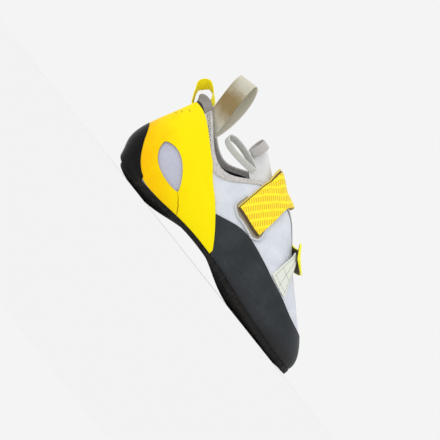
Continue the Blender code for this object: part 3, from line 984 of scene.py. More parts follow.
@dataclass
class Sheet:
    """A closed sheet between two skins of one grid, with a rounded rim."""

    name: str
    outer: Array
    inner: Array
    looks: Sequence[Look]
    slot: str
    stands_for: Sequence[str] = ()
    rim: float = 0.0004

    def mesh(self) -> bmesh.types.BMesh:
        """The closed mesh: its first finish is outside, and its second, if any, inside."""
        rows = self.outer.shape[1]
        mesh = grid_mesh(self.outer)
        spot = mesh.verts.layers.int["spot"]
        front = mesh.faces[:]
        grown = bmesh.ops.extrude_face_region(mesh, geom=front, use_keep_orig=True)
        for part in grown["geom"]:
            if isinstance(part, bmesh.types.BMVert):
                part.co = self.inner[divmod(part[spot], rows)]
        if len(self.looks) > 1:
            kept = set(front)
            for face in mesh.faces:
                face.material_index = 0 if face in kept else 1
        bmesh.ops.recalc_face_normals(mesh, faces=mesh.faces[:])
        return mesh

    def build(self) -> bpy.types.Object:
        """Makes the piece."""
        piece = add_piece(self.name, self.mesh(), self.looks, self.stands_for)
        return soften(piece, self.rim) if self.rim else piece


def wall_skins(places: Array, lows: Array, highs: Array, rows: int, inside: Array,
               outside: Array) -> tuple[Array, Array]:
    """The two skins of a sheet on the wall, between two edges.

    Args:
        places: The columns.
        lows, highs: Rise of the two edges at each place.
        rows: Number of rows between the edges.
        inside, outside: Distances of the skins from the wall.

    Returns:
        The outer and the inner skin.
    """
    rises = lows[:, None] + (highs - lows)[:, None] * np.linspace(0, 1, rows)
    columns = places[:, None]
    return LAST.skin(columns, rises, outside), LAST.skin(columns, rises, inside)


def sweep(path: Array, across: Array, width: float, thick: float, closed: bool) -> bmesh.types.BMesh:
    """A strip of tape with round edges along a path.

    Args:
        path: The tape's middle line.
        across: The direction of its width, for the whole tape or for each point.
        width, thick: Its section.
        closed: Whether the path runs back to its start.

    Returns:
        The mesh.
    """
    run = unit(np.roll(path, -1, 0) - np.roll(path, 1, 0) if closed else np.gradient(path, axis=0))
    across = unit(across - run * np.sum(run * across, axis=-1, keepdims=True))
    face = unit(np.cross(run, across))
    angle = np.linspace(0, math.tau, 33)
    side = np.sign(np.cos(angle)) * np.abs(np.cos(angle)) ** 0.35 * width / 2
    rise = np.sign(np.sin(angle)) * np.abs(np.sin(angle)) ** 0.55 * thick / 2
    if closed:
        path, face, across = (np.append(line, line[:1], 0) for line in (path, face, across))
    points = (path[:, None] + side[None, :, None] * across[:, None]
              + rise[None, :, None] * face[:, None])
    measure = np.stack(np.broadcast_arrays(lengths(path)[:, None], side[None, :]), axis=-1)
    mesh = grid_mesh(points, measure)
    if not closed:
        bmesh.ops.holes_fill(mesh, edges=[edge for edge in mesh.edges if edge.is_boundary])
    bmesh.ops.recalc_face_normals(mesh, faces=mesh.faces[:])
    return mesh


def welt_mesh(path: Array, radius: float) -> bmesh.types.BMesh:
    """A thin round welt.

    Args:
        path: Its middle line.
        radius: Its radius.

    Returns:
        The mesh.
    """
    turn = unit(np.cross(np.gradient(path, axis=0), UP))
    rise = unit(np.cross(turn, np.gradient(path, axis=0)))
    angle = np.linspace(0, math.tau, 11)[None, :, None]
    points = path[:, None] + radius * (np.cos(angle) * turn[:, None] + np.sin(angle) * rise[:, None])
    mesh = grid_mesh(points)
    bmesh.ops.holes_fill(mesh, edges=[edge for edge in mesh.edges if edge.is_boundary])
    bmesh.ops.recalc_face_normals(mesh, faces=mesh.faces[:])
    return mesh


@dataclass
class Stitching:
    """Rows of stitches that are joined in one piece."""

    name: str
    look: Look
    slot: str
    pitch: float = 0.0030
    length: float = 0.0022
    girth: float = 0.00055

    def __post_init__(self) -> None:
        """Starts an empty mesh."""
        self.mesh = bmesh.new()

    def row(self, path: Array, normals: Array, zigzag: float = 0.0) -> None:
        """Adds a row of stitches.

        Args:
            path: Points of the seam, on the surface.
            normals: The surface's outward directions there.
            zigzag: How far each stitch turns to one side and the other, as a slope.
        """
        along = lengths(path)
        spots = np.arange(self.pitch / 2, along[-1], self.pitch)
        read = [np.stack([np.interp(spots, along, table[:, axis]) for axis in range(3)], axis=1)
                for table in (path, np.broadcast_to(normals, path.shape), np.gradient(path, axis=0))]
        for turn, (point, normal, run) in enumerate(zip(*read)):
            normal, run = unit(normal), unit(run)
            side = np.cross(normal, run)
            lean = unit(run + side * zigzag * (-1) ** turn)
            axes = (lean * self.length, np.cross(normal, lean) * self.girth, normal * self.girth)
            frame_of = Matrix.Translation(Vector(point)) @ Matrix(
                [[axis[row] for axis in axes] for row in range(3)]).to_4x4()
            bmesh.ops.create_uvsphere(self.mesh, u_segments=6, v_segments=4, radius=0.5, matrix=frame_of)

    def build(self) -> bpy.types.Object:
        """Makes the piece."""
        bmesh.ops.recalc_face_normals(self.mesh, faces=self.mesh.faces[:])
        return add_piece(self.name, self.mesh, (self.look,))


def wall_seam(places: Array, rises: Array, offset: float) -> tuple[Array, Array]:
    """A seam's path on the wall and the wall's outward directions along it."""
    path = LAST.skin(places, rises, offset)
    return path, LAST.skin(places, rises, offset + 0.001) - path


@dataclass
class Upper:
    """The lasted shell with its collar binding, heel tab and window cloth."""

    columns: int = 361
    rows: int = 45
    binding: float = 0.0008
    binding_inside: float = 0.0050
    binding_drop: tuple[Drop, ...] = (
        Drop(0.0, .0060), Drop(1.2, .0090), Drop(2.0, .0082), Drop(2.6, .0074), Drop(3.3, .0072),
        Drop(4.6, .0070), Drop(5.6, .0056),
    )
    binding_end: float = 5.55
    throat_lap: float = 0.1
    throat_drop: float = 0.0006
    throat_thick: float = 0.0004
    tab_end: float = 1.40
    tab_drop: float = 0.0064
    tab_inside: float = 0.012
    tab_thick: float = 0.0007
    shadow_strip_end: float = 1.37
    shadow_strip_low: float = 0.895
    shadow_strip_high: float = 0.945
    shadow_strip_proud: float = 0.0005
    cloth_places: tuple[float, float] = (0.7, 3.1)
    cloth_above: float = 0.05
    cloth_below: float = 0.08
    cloth_thick: float = 0.0003
    hair: float = 0.00005
    zigzag: tuple[Edge, ...] = (Edge(1.45, .973), Edge(2.0, .967), Edge(2.60, .956))
    channel_half: float = 0.016
    plain_row: tuple[float, float] = (2.6, 5.0)
    plain_inset: float = 0.0012

    def build(self) -> None:
        """Builds every piece of the upper."""
        places = np.linspace(0, ROUND, self.columns)[:, None]
        rises = np.linspace(0, 1, self.rows)[None, :]
        # Its inside takes the near-black lining, painted shade of the shoe's interior.
        Sheet("upper_shell", LAST.skin(places, rises), LAST.skin(places, rises, -WALL),
              (Look.UPPER, Look.LINING_PAINTED_SHADE), "upper_grey", ("upper",), rim=0.0).build()
        self.build_binding()
        self.build_heel_tab()
        self.build_window_cloth()
        self.build_stitches()

    def wrapped(self, places: Array, drops: Array, inside: float, off: float) -> Array:
        """A strip folded over the topline.

        Args:
            places: The columns.
            drops: How far it reaches down outside, at each place.
            inside: How far it reaches down inside.
            off: Its distance from the wall.

        Returns:
            The points, from the outside edge over the top to the inside edge.
        """
        top = LAST.wall(places, np.ones(places.shape))
        step = 2e-3
        climb = (top - LAST.wall(places, np.full(places.shape, 1 - step))) / step
        tall = np.linalg.norm(climb, axis=-1)
        face = LAST.skin(places, np.ones(places.shape), 1.0) - LAST.skin(places, np.ones(places.shape))
        outside_rises = 1 - (drops / tall)[:, None] * np.linspace(1, 0, 7)[:-1]
        inside_rises = 1 - (inside / tall)[:, None] * np.linspace(0, 1, 8)[1:]
        columns = places[:, None]
        angle = np.linspace(0, math.pi, 9)[None, :, None]
        core = top - face * WALL / 2
        ring = core[:, None] + (WALL / 2 + off) * (
            np.cos(angle) * face[:, None] + np.sin(angle) * unit(climb)[:, None])
        return np.concatenate([LAST.skin(columns, outside_rises, off), ring,
                               LAST.skin(columns, inside_rises, -WALL - off)], axis=1)

    def build_binding(self) -> None:
        """The speckled binding round the collar, and a dark strip along the throat's edge in front of it:
        painted shade of the opening.
        """
        places = np.linspace(-self.binding_end, self.binding_end, 241)
        drops = both_sides(self.binding_drop, places)
        outer = self.wrapped(places, drops, self.binding_inside, self.binding)
        inner = self.wrapped(places, drops, self.binding_inside, GAP / 3)
        Sheet("collar_binding", outer, inner, (Look.BINDING,), "upper_grey", rim=0.00025).build()
        # A dark strip over the throat's edge: painted shade of the opening.
        start = self.binding_end - self.throat_lap
        places = np.linspace(start, ROUND - start, 161)
        drops = np.full(places.shape, self.throat_drop)
        outer = self.wrapped(places, drops, self.throat_drop, self.throat_thick)
        inner = self.wrapped(places, drops, self.throat_drop, self.hair)
        Sheet("throat_painted_shade", outer, inner, (Look.THROAT_PAINTED_SHADE,), "upper_grey", rim=0.0).build()

    def build_heel_tab(self) -> None:
        """The plain tab over the back of the collar, and a near-black strip under its edge: painted shadow
        of the tab.
        """
        places = np.linspace(-self.tab_end, self.tab_end, 65)
        drops = np.full(places.shape, self.tab_drop)
        off = self.binding + self.tab_thick
        outer = self.wrapped(places, drops, self.tab_inside, off)
        inner = self.wrapped(places, drops, self.tab_inside, self.binding)
        Sheet("heel_tab", outer, inner, (Look.HEEL_TAB,), "upper_grey", rim=0.0003).build()
        # A near-black strip below the tab: painted shadow cast by the tab's edge.
        places = np.linspace(-self.shadow_strip_end, self.shadow_strip_end, 61)
        lows, highs = np.full(places.shape, self.shadow_strip_low), np.full(places.shape, self.shadow_strip_high)
        outer, inner = wall_skins(places, lows, highs, 5, 2 * self.hair, self.binding + self.shadow_strip_proud)
        Sheet("heel_tab_painted_shadow", outer, inner, (Look.SHADOW,), "upper_grey", rim=0.0).build()

    def build_window_cloth(self) -> None:
        """The mesh cloth that shows through the rand's windows."""
        for side in Side:
            places = np.linspace(*self.cloth_places, 61) * -side.value
            lows = both_sides(TensionRand.low, places) + self.cloth_above
            highs = both_sides(TensionRand.high, places) - self.cloth_below
            outer, inner = wall_skins(places, lows, highs, 25, self.hair, self.cloth_thick)
            Sheet(f"window_cloth_{side.name.lower()}", outer, inner, (Look.WINDOW,), "upper_grey",
                  rim=0.0).build()

    def build_stitches(self) -> None:
        """White zigzag in a darker channel by the collar's back, and a plain row on the rest."""
        white = Stitching("collar_stitches", Look.WHITE_THREAD, "upper_grey", pitch=0.0027,
                          length=0.0034, girth=0.0010)
        for side in Side:
            places = np.linspace(self.zigzag[0].place, self.zigzag[-1].place, 60)
            rises = eased(self.zigzag, places)[:, 0]
            places = on_side(places, side)
            white.row(*wall_seam(places, rises, self.binding + 0.0003), zigzag=0.8)
            lows, highs = rises - self.channel_half, rises + self.channel_half
            outer, inner = wall_skins(places, lows, highs, 5, self.binding / 2, self.binding + 0.0002)
            Sheet(f"stitch_channel_{side.name.lower()}", outer, inner, (Look.CHANNEL,), "upper_grey",
                  rim=0.0).build()
        white.build()
        beige = Stitching("binding_stitches", Look.BEIGE_THREAD, "upper_grey", length=0.0018,
                          girth=0.0004, pitch=0.0028)
        for side in Side:
            places = np.linspace(*self.plain_row, 110)
            drops = both_sides(self.binding_drop, places)
            tall = np.linalg.norm(LAST.wall(places, 0 * places + 1)
                                  - LAST.wall(places, 0 * places + 0.99), axis=-1) * 100
            rises = 1 - (drops - self.plain_inset) / tall
            beige.row(*wall_seam(on_side(places, side), rises, self.binding))
        beige.build()


@dataclass
class SoleUnit:
    """The outsole, the insole in it and the black rubber round the heel."""

    columns: int = 201
    rows: int = 41
    level: float = 0.45
    seat_share: float = 0.86
    back_fill: float = 0.0062
    back_reach: float = 0.50
    side_blend: float = 0.2
    heel_end: float = 2.10
    heel_turn: float = 0.15
    lap_fade: float = 0.40
    lap_out: float = 0.0006
    lap_down: float = 0.0002
    foot_in: float = 0.0008
    foot_up: float = 0.0006
    start_out: float = 0.0012
    start_up: float = 0.0030
    join_reach: float = 0.0035
    seam: float = 0.002

    def lines(self) -> tuple[Array, ...]:
        """The sole's section lines.

        Returns:
            The seat, its height, the underside, the outer and inner rim, their top and underside.
        """
        places = np.linspace(0, TIP, self.columns)
        outer, inner = LAST.row(places), LAST.row(ROUND - places)
        out_left, out_right = LAST.outward(places), LAST.outward(ROUND - places)
        across = np.linspace(-1, 1, self.rows)
        share = ((across + 1) / 2)[None, :, None]
        seat_left = outer[:, None, :3] - out_left[:, None] * SOLE_SEAT
        seat_right = inner[:, None, :3] - out_right[:, None] * SOLE_SEAT
        seat = seat_left * (1 - share) + seat_right * share
        rim_left = (outer[:, :3] + out_left * SOLE_LIP)[:, None]
        rim_right = (inner[:, :3] + out_right * SOLE_LIP)[:, None]
        keel, edge = outer[:, 10:11], outer[:, 11:12]
        side = ease((across / self.side_blend + 1) / 2)[None, :]
        lift = outer[:, 2:3] * (1 - side) + inner[:, 2:3] * side - GAP
        swell = np.clip((np.abs(across) * self.seat_share - self.level) / (1 - self.level), 0, 1) ** 2
        under = np.maximum(keel + (lift - edge - keel) * swell, 0)
        fill = self.back_fill * np.exp(-(places / self.back_reach) ** 2)[:, None]
        core = np.maximum(keel, 0) + edge + fill
        top = core + (lift - core) * np.abs(across) ** 3
        return seat, top, under, rim_left, rim_right, lift, np.maximum(lift - edge, 0)

    @staticmethod
    def at_height(points: Array, height: Array) -> Array:
        """Points moved to new heights."""
        return np.concatenate([points[..., :2], height[..., None]], axis=-1)

    def build(self) -> None:
        """Builds the sole's pieces."""
        seat, top, under, left, right, lift, rim = self.lines()
        points = np.concatenate([left, seat, right], axis=1)
        tops = np.concatenate([lift[:, :1], top, lift[:, -1:]], axis=1)
        unders = np.concatenate([rim[:, :1], under, rim[:, -1:]], axis=1)
        Sheet("outsole_rubber", self.at_height(points, unders), self.at_height(points, tops),
              (Look.SOLE,), "sole_black", ("outsole",), rim=0.0016).build()
        low = top + 3 * GAP
        Sheet("insole_board", self.at_height(seat, low + INSOLE), self.at_height(seat, low),
              (Look.INSOLE,), "insole_black", ("insole",), rim=0.0005).build()
        self.build_heel()

    def build_heel(self) -> None:
        """The heel rubber runs from the sole's lower edge up to the yellow rand."""
        places = np.linspace(-self.heel_end, self.heel_end, 121)
        highs = both_sides(TensionRand.low, places) - self.seam
        turn = np.minimum(self.heel_turn, highs / 2)
        skins = []
        lap = ease((self.heel_end - np.abs(places)) / self.lap_fade)[:, None]
        for off in (SKIN_GAP + HEEL_RUBBER, 0.0):
            upper = LAST.skin(places[:, None], turn[:, None] + (highs - turn)[:, None]
                              * np.linspace(0, 1, 25), off)
            row, out = LAST.row(places), LAST.outward(places)
            foot = row[:, :3] + out * (SOLE_LIP - self.foot_in + off / 4 + lap * self.lap_out)
            foot[:, 2] = row[:, 2] - GAP - row[:, 11] + self.foot_up - lap[:, 0] * self.lap_down
            start = foot + out * self.start_out + UP * self.start_up
            end = upper[:, 0] + unit(upper[:, 0] - upper[:, 1]) * self.join_reach
            share = np.linspace(0, 1, 13)[None, :-1, None]
            lower = bezier(foot[:, None], start[:, None], end[:, None], upper[:, :1], share)
            skins.append(np.concatenate([lower, upper], axis=1))
        Sheet("heel_rubber", skins[0], skins[1], (Look.HEEL,), "heel_black", ("heel_cup",),
              rim=0.0006).build()


class Window(NamedTuple):
    """The rand's almond window, seen from the side."""

    along: float = 0.0440
    up: float = 0.0385
    length: float = 0.048
    breadth: float = 0.0205
    taper: float = 0.30
    slope: float = -0.45
    point: float = 0.22


def teardrop(shape: Loop | Window, steps: int) -> tuple[Array, Array]:
    """An outline that is slimmer towards the positive end of its length.

    Args:
        shape: Its length, breadth and taper.
        steps: Number of its points.

    Returns:
        The points' distances along its length and to its side.
    """
    angle = np.linspace(0, math.tau, steps, endpoint=False)
    along = shape.length / 2 * np.cos(angle)
    return along, shape.breadth / 2 * np.sin(angle) * (1 - shape.taper * np.cos(angle))


@dataclass
class TensionRand:
    """The yellow rubber round the heel, with an almond window on each side."""

    low: ClassVar[tuple[Edge, ...]] = (
        Edge(0.0, .468), Edge(0.35, .478), Edge(0.6, .466), Edge(0.95, .390), Edge(1.25, .275),
        Edge(1.55, .165), Edge(1.85, .090), Edge(2.15, .048), Edge(2.8, .024), Edge(5.2, .022),
    )
    high: ClassVar[tuple[Edge, ...]] = (
        Edge(0.0, .924), Edge(0.6, .916), Edge(1.0, .915), Edge(1.4, .930), Edge(2.0, .950),
        Edge(2.7, .955), Edge(3.1, .93), Edge(3.5, .81), Edge(3.95, .60), Edge(4.45, .335),
        Edge(5.15, .050),
    )
    end: float = 5.15
    tucked: float = 0.018
    lowest: float = 0.003
    window: Window = Window()
    slit_foot: tuple[float, float] = (0.0834, 0.0125)
    slit_bow: tuple[float, float] = (0.0016, 0.00048)
    slit_width: float = 0.0007
    nick_width: float = 0.0005
    nick_slope: float = 0.1
    cut_proud: float = 0.00004
    cut_depth: float = 0.0003
    nicks: tuple[tuple[float, float, float], ...] = (
        (0.0038, 0.0725, 0.0030), (0.0062, 0.0775, 0.0034), (0.0100, 0.0832, 0.0036),
    )

    def build(self) -> None:
        """Builds the rand, its windows and its cuts."""
        places = np.linspace(-self.end, self.end, 281)
        lows = np.maximum(both_sides(self.low, places) - self.tucked, self.lowest)
        highs = both_sides(self.high, places)
        outer, inner = wall_skins(places, lows, highs, 31, SKIN_GAP, SKIN_GAP + RAND_RUBBER)
        rand = Sheet("tension_rand_rubber", outer, inner, (Look.RAND,), "rand_yellow",
                     ("tension_rand",), rim=0.0).build()
        # The second finish, dark orange-brown, paints shade on the window's cut walls.
        rand.data.materials.append(Look.CUT.material())
        self.cut_windows(rand)
        soften(rand, 0.00045)
        self.build_cuts()

    def cut_windows(self, rand: bpy.types.Object) -> None:
        """Cuts the almond out of both sides with one prism.

        Args:
            rand: The rand, whose second finish paints shade on the cut's rim.
        """
        long, wide = teardrop(self.window, 96)
        wide = wide * np.clip(1 - (2 * long / self.window.length) ** 2, 0, 1) ** self.window.point
        slope = math.atan(self.window.slope)
        along = self.window.along + long * math.cos(slope) - wide * math.sin(slope)
        up = self.window.up + long * math.sin(slope) + wide * math.cos(slope)
        mesh = bmesh.new()
        rim = [mesh.verts.new((x - LAST.origin_along, -LAST.ball_width, z)) for x, z in zip(along, up)]
        grown = bmesh.ops.extrude_face_region(mesh, geom=[mesh.faces.new(rim)], use_keep_orig=True)
        far = [part for part in grown["geom"] if isinstance(part, bmesh.types.BMVert)]
        bmesh.ops.translate(mesh, verts=far, vec=(0, 2 * LAST.ball_width, 0))
        bmesh.ops.recalc_face_normals(mesh, faces=mesh.faces[:])
        # The cut's inner walls take the dark finish: painted shade on the rand's thickness.
        for face in mesh.faces:
            face.material_index = 1
        prism = linked("window_prism", mesh)
        cut = rand.modifiers.new("windows", "BOOLEAN")
        cut.operation = "DIFFERENCE"
        cut.solver = "EXACT"
        cut.object = prism
        graph = bpy.context.evaluated_depsgraph_get()
        rand.data = bpy.data.meshes.new_from_object(rand.evaluated_get(graph))
        rand.modifiers.remove(cut)
        rand.data.shade_smooth()
        bpy.data.objects.remove(prism)

    def build_cuts(self) -> None:
        """The slit below each window, and the short nicks at the back, as dark strips of painted shade."""
        slope = math.atan(self.window.slope)
        tip = np.array([self.window.along + self.window.length / 2 * math.cos(slope),
                        self.window.up + self.window.length / 2 * math.sin(slope)])
        foot = np.array(self.slit_foot)
        share = np.linspace(0, 1, 25)[:, None]
        line = tip * (1 - share) + foot * share + np.array(self.slit_bow) * 4 * share * (1 - share)
        spots = np.array([LAST.spot(x - LAST.origin_along, z) for x, z in line])
        for side in Side:
            places = on_side(spots[:, 0], side)
            self.groove(f"rand_slit_{side.name.lower()}", places, spots[:, 1], self.slit_width)
        for number, (along, up, reach) in enumerate(self.nicks, 1):
            line = np.linspace((along, up), (along + reach, up + reach * self.nick_slope), 9)
            spots = np.array([LAST.spot(x - LAST.origin_along, z) for x, z in line])
            self.groove(f"rand_nick_{number}", spots[:, 0], spots[:, 1], self.nick_width)

    def groove(self, name: str, places: Array, rises: Array, width: float) -> None:
        """A dark strip on the rand's face, slimmer at its ends: painted shade inside a cut.

        Args:
            name: The piece's name.
            places, rises: The cut's middle line on the wall.
            width: Its width in the middle.
        """
        path = LAST.skin(places, rises, SKIN_GAP + RAND_RUBBER + self.cut_proud)
        face = unit(LAST.skin(places, rises, 0.01) - LAST.skin(places, rises, 0.0))
        side = unit(np.cross(face, np.gradient(path, axis=0)))
        share = np.linspace(0, 1, len(path))
        slim = np.sqrt(np.clip(4 * share * (1 - share), 0.04, 1))[:, None, None]
        points = path[:, None] + side[:, None] * slim * np.linspace(-0.5, 0.5, 3)[None, :, None] * width
        Sheet(name, points, points - face[:, None] * self.cut_depth, (Look.CUT,), "rand_yellow",
              rim=0.0).build()


@dataclass
class ToePatch:
    """The grey rubber over the toe, outside the upper."""

    high: ClassVar[tuple[Edge, ...]] = (
        Edge(4.45, .345), Edge(4.70, .358), Edge(5.0, .380), Edge(5.5, .423), Edge(5.9, .450),
        Edge(6.5, .468), Edge(7.25, .473), Edge(8.4, .472), Edge(9.05, .425), Edge(10.0, .385),
    )
    end: float = 4.45
    low: float = 0.004
    seam: float = 0.003

    def build(self) -> None:
        """Builds the patch from one end round the toe to the other."""
        places = np.linspace(self.end, ROUND - self.end, 301)
        near = folded(places)
        over_rand = eased(TensionRand.high, np.minimum(near, TensionRand.end))[:, 0] + self.seam
        lows = np.where(near < TensionRand.end, over_rand, self.low)
        highs = both_sides(self.high, places)
        outer, inner = wall_skins(places, lows, highs, 31, SKIN_GAP / 4, SKIN_GAP + PATCH_RUBBER)
        Sheet("toe_patch_rubber", outer, inner, (Look.PATCH,), "patch_grey", ("toe_patch",),
              rim=0.00045).build()


@dataclass
class Tongue:
    """The tongue in the throat, with two webbing loops at the outer side of its end."""

    side: ClassVar[tuple[Edge, ...]] = (
        Edge(5.0, 1.24), Edge(5.6, 1.22), Edge(6.5, 1.20), Edge(8.2, 1.12),
    )
    rise: float = 0.0369
    narrows: float = 0.50
    taper: float = 0.58
    lean: tuple[float, float, float] = (-0.876, 0.0, 0.483)
    tuck: tuple[float, float, float] = (0.014, 0.0, -0.015)
    white: Loop = Loop(width=.0075, length=.039, breadth=.0118, taper=.45)
    white_at: float = -1.05
    white_share: float = 0.45
    white_rise: float = 0.03
    white_off: tuple[float, float, float] = (-0.0019, -0.0092, -0.0056)
    white_across: tuple[float, float, float] = (0.0, 0.70, -0.71)
    grey: Loop = Loop(width=.0092, length=.016, breadth=.0075, taper=.35)
    grey_at: float = -1.12
    grey_lean: float = 0.05
    grey_off: tuple[float, float, float] = (0.0014, -0.0062, -0.0022)
    grey_across: tuple[float, float, float] = (0.85, 0.53, 0.0)

    def free(self, row: Array, share: float) -> Array:
        """A row of the tongue's free end, narrowed to round corners.

        Args:
            row: The last row in the throat.
            share: How far out the row is; 1 is the free edge.

        Returns:
            The row's points.
        """
        middle = np.array([0.0, -LAST.origin_across, 0.0])
        narrow = np.array([1.0, 1 - self.narrows * share ** self.taper, 1.0])
        return middle + (row - middle) * narrow + np.array(self.lean) * self.rise * share

    def point(self, across: float, share: float) -> Array:
        """A point in the middle of the tongue's thickness, on its free end.

        Args:
            across: Step across the section.
            share: How far out the point is; 1 is the free edge.

        Returns:
            The point.
        """
        depth = WALL + 2 * GAP + TONGUE / 2
        back = np.array([[self.side[0].place]])
        return self.free(proud(LAST.over, back, np.array([[across]]), -depth)[0], share)[0]

    def build(self) -> None:
        """Builds the tongue and its loops."""
        places = np.linspace(self.side[-1].place, self.side[0].place, 41)[:, None]
        across = eased(self.side, places[:, 0]) * np.linspace(-1, 1, 33)
        skins = []
        for depth in (WALL + 2 * GAP, WALL + 2 * GAP + TONGUE):
            throat = proud(LAST.over, places, across, -depth)
            tucked = [throat[0] + np.array(self.tuck) * share for share in np.linspace(1, 0.25, 4)]
            free = [self.free(throat[-1], share) for share in np.linspace(0.08, 1, 13)]
            skins.append(np.concatenate([tucked, throat, free]))
        # The underside takes the near-black lining, painted shade under the tongue.
        pad = Sheet("tongue_pad", *skins, (Look.TONGUE, Look.LINING_PAINTED_SHADE), "tongue_white", ("tongue",),
                    rim=0.0009).build()
        self.build_loops()

    def build_loops(self) -> None:
        """The white loop lies back over the collar, and the grey one stands at the tongue's edge."""
        foot = self.point(self.white_at, self.white_share) + np.array(self.white_off)
        path = ring_path(self.white, foot, (-1.0, 0.0, self.white_rise), self.white_across)
        mesh = sweep(path, np.array(self.white_across), self.white.width, WEBBING, True)
        add_piece("tongue_loop_white_tape", mesh, (Look.WHITE_TAPE,), ("tongue_loop_white",))
        foot = self.point(self.grey_at, 1.0) + np.array(self.grey_off)
        path = ring_path(self.grey, foot, (self.grey_lean, 0.0, 1.0), self.grey_across)
        mesh = sweep(path, np.array(self.grey_across), self.grey.width, WEBBING, True)
        add_piece("tongue_loop_grey_tape", mesh, (Look.GREY_TAPE,), ("tongue_loop_grey",))


def ring_path(loop: Loop, foot: Array, long: Sequence[float], across: Sequence[float],
              sway: tuple[float, float, float] = (0.0, 0.0, 0.0)) -> Array:
    """The closed middle line of a loop whose slim end is at its foot.

    Args:
        loop: Its sizes.
        foot: Where it starts.
        long, across: The directions of its length and of its tape's width.
        sway: How far its round end hangs over.

    Returns:
        The points.
    """
    along, out = teardrop(loop, 112)
    reach = (loop.length / 2 - along)[:, None]
    return (foot + reach * unit(long) + out[:, None] * unit(np.cross(long, across))
            + (reach / loop.length) ** 2 * np.array(sway))


@dataclass
class PullLoops:
    """The yellow loop over the heel and the beige loop inside the outer collar."""

    heel_width: float = 0.013
    heel_across: tuple[float, float, float] = (0.50, 0.80, -0.33)
    heel_twist: float = 0.008
    heel: tuple[LoopRow, ...] = (
        LoopRow(.0000, -.0098), LoopRow(-.0029, -.0060), LoopRow(-.0063, -.0010),
        LoopRow(-.0083, .0042), LoopRow(-.0072, .0098), LoopRow(-.0034, .0130),
        LoopRow(.0020, .0124), LoopRow(.0076, .0094), LoopRow(.0118, .0044),
        LoopRow(.0112, -.0022), LoopRow(.0080, -.0080),
    )
    collar: Loop = Loop(width=.020, length=.056, breadth=.0160, taper=.40)
    collar_place: float = 1.70
    collar_inset: float = 0.0107
    collar_sink: float = 0.0090
    collar_lean: float = -0.06
    collar_across: tuple[float, float, float] = (0.92, -0.36, 0.16)
    collar_sway: tuple[float, float, float] = (-0.004, -0.020, 0.0)
    seam_shares: tuple[float, ...] = (0.630, 0.925)
    seam_reach: float = 0.46

    def build(self) -> None:
        """Builds both loops and the collar loop's seams."""
        table = [(step, *row) for step, row in enumerate(self.heel)]
        line = eased(table, np.linspace(0, len(self.heel) - 1, 100))
        back = LAST.wall(np.array(0.0), np.array(1.0))
        path = np.stack([back[0] + line[:, 0], np.full(len(line), back[1]), back[2] + line[:, 1]], axis=1)
        twist = ease(line[:, 1:] / self.heel_twist)
        across = np.array([0.0, 1.0, 0.0]) * (1 - twist) + np.array(self.heel_across) * twist
        mesh = sweep(path, across, self.heel_width, WEBBING, False)
        add_piece("heel_loop_tape", mesh, (Look.YELLOW_TAPE,), ("heel_pull_loop",))
        long = np.array([self.collar_lean, 0.0, 1.0])
        across = unit(self.collar_across)
        inward = unit(np.cross(long, across))
        top = LAST.wall(np.array(self.collar_place), np.array(1.0))
        foot = top + inward * self.collar_inset - long * self.collar_sink
        path = ring_path(self.collar, foot, long, across, self.collar_sway)
        mesh = sweep(path, across, self.collar.width, WEBBING, True)
        add_piece("collar_loop_tape", mesh, (Look.COLLAR_TAPE,), ("collar_pull_loop",))
        thread = Stitching("collar_loop_stitches", Look.BEIGE_THREAD, "webbing_beige", pitch=0.0019,
                           length=0.0014, girth=0.0004)
        share = lengths(path) / lengths(path)[-1]
        for seam in self.seam_shares:
            spot = int(np.searchsorted(share, seam))
            face = unit(np.cross(across, path[spot + 1] - path[spot - 1]))
            for sign in (-1, 1):
                reach = np.linspace(-self.seam_reach, self.seam_reach, 30)[:, None]
                row = path[spot] + reach * across * self.collar.width
                thread.row(row + face * sign * WEBBING / 2, np.broadcast_to(face * sign, row.shape))
        thread.build()


class Layer(NamedTuple):
    """A layer of the instep strap.

    low and high are the distances of its two skins from the strap's inside. rear and end are how
    far it stands out past the face, as a share of the strap's width and in steps across the section.
    """

    name: str
    look: Look
    low: float
    high: float
    rear: float = 0.0
    end: float = 0.0
    rim: float = 0.0003
    stands_for: tuple[str, ...] = ()


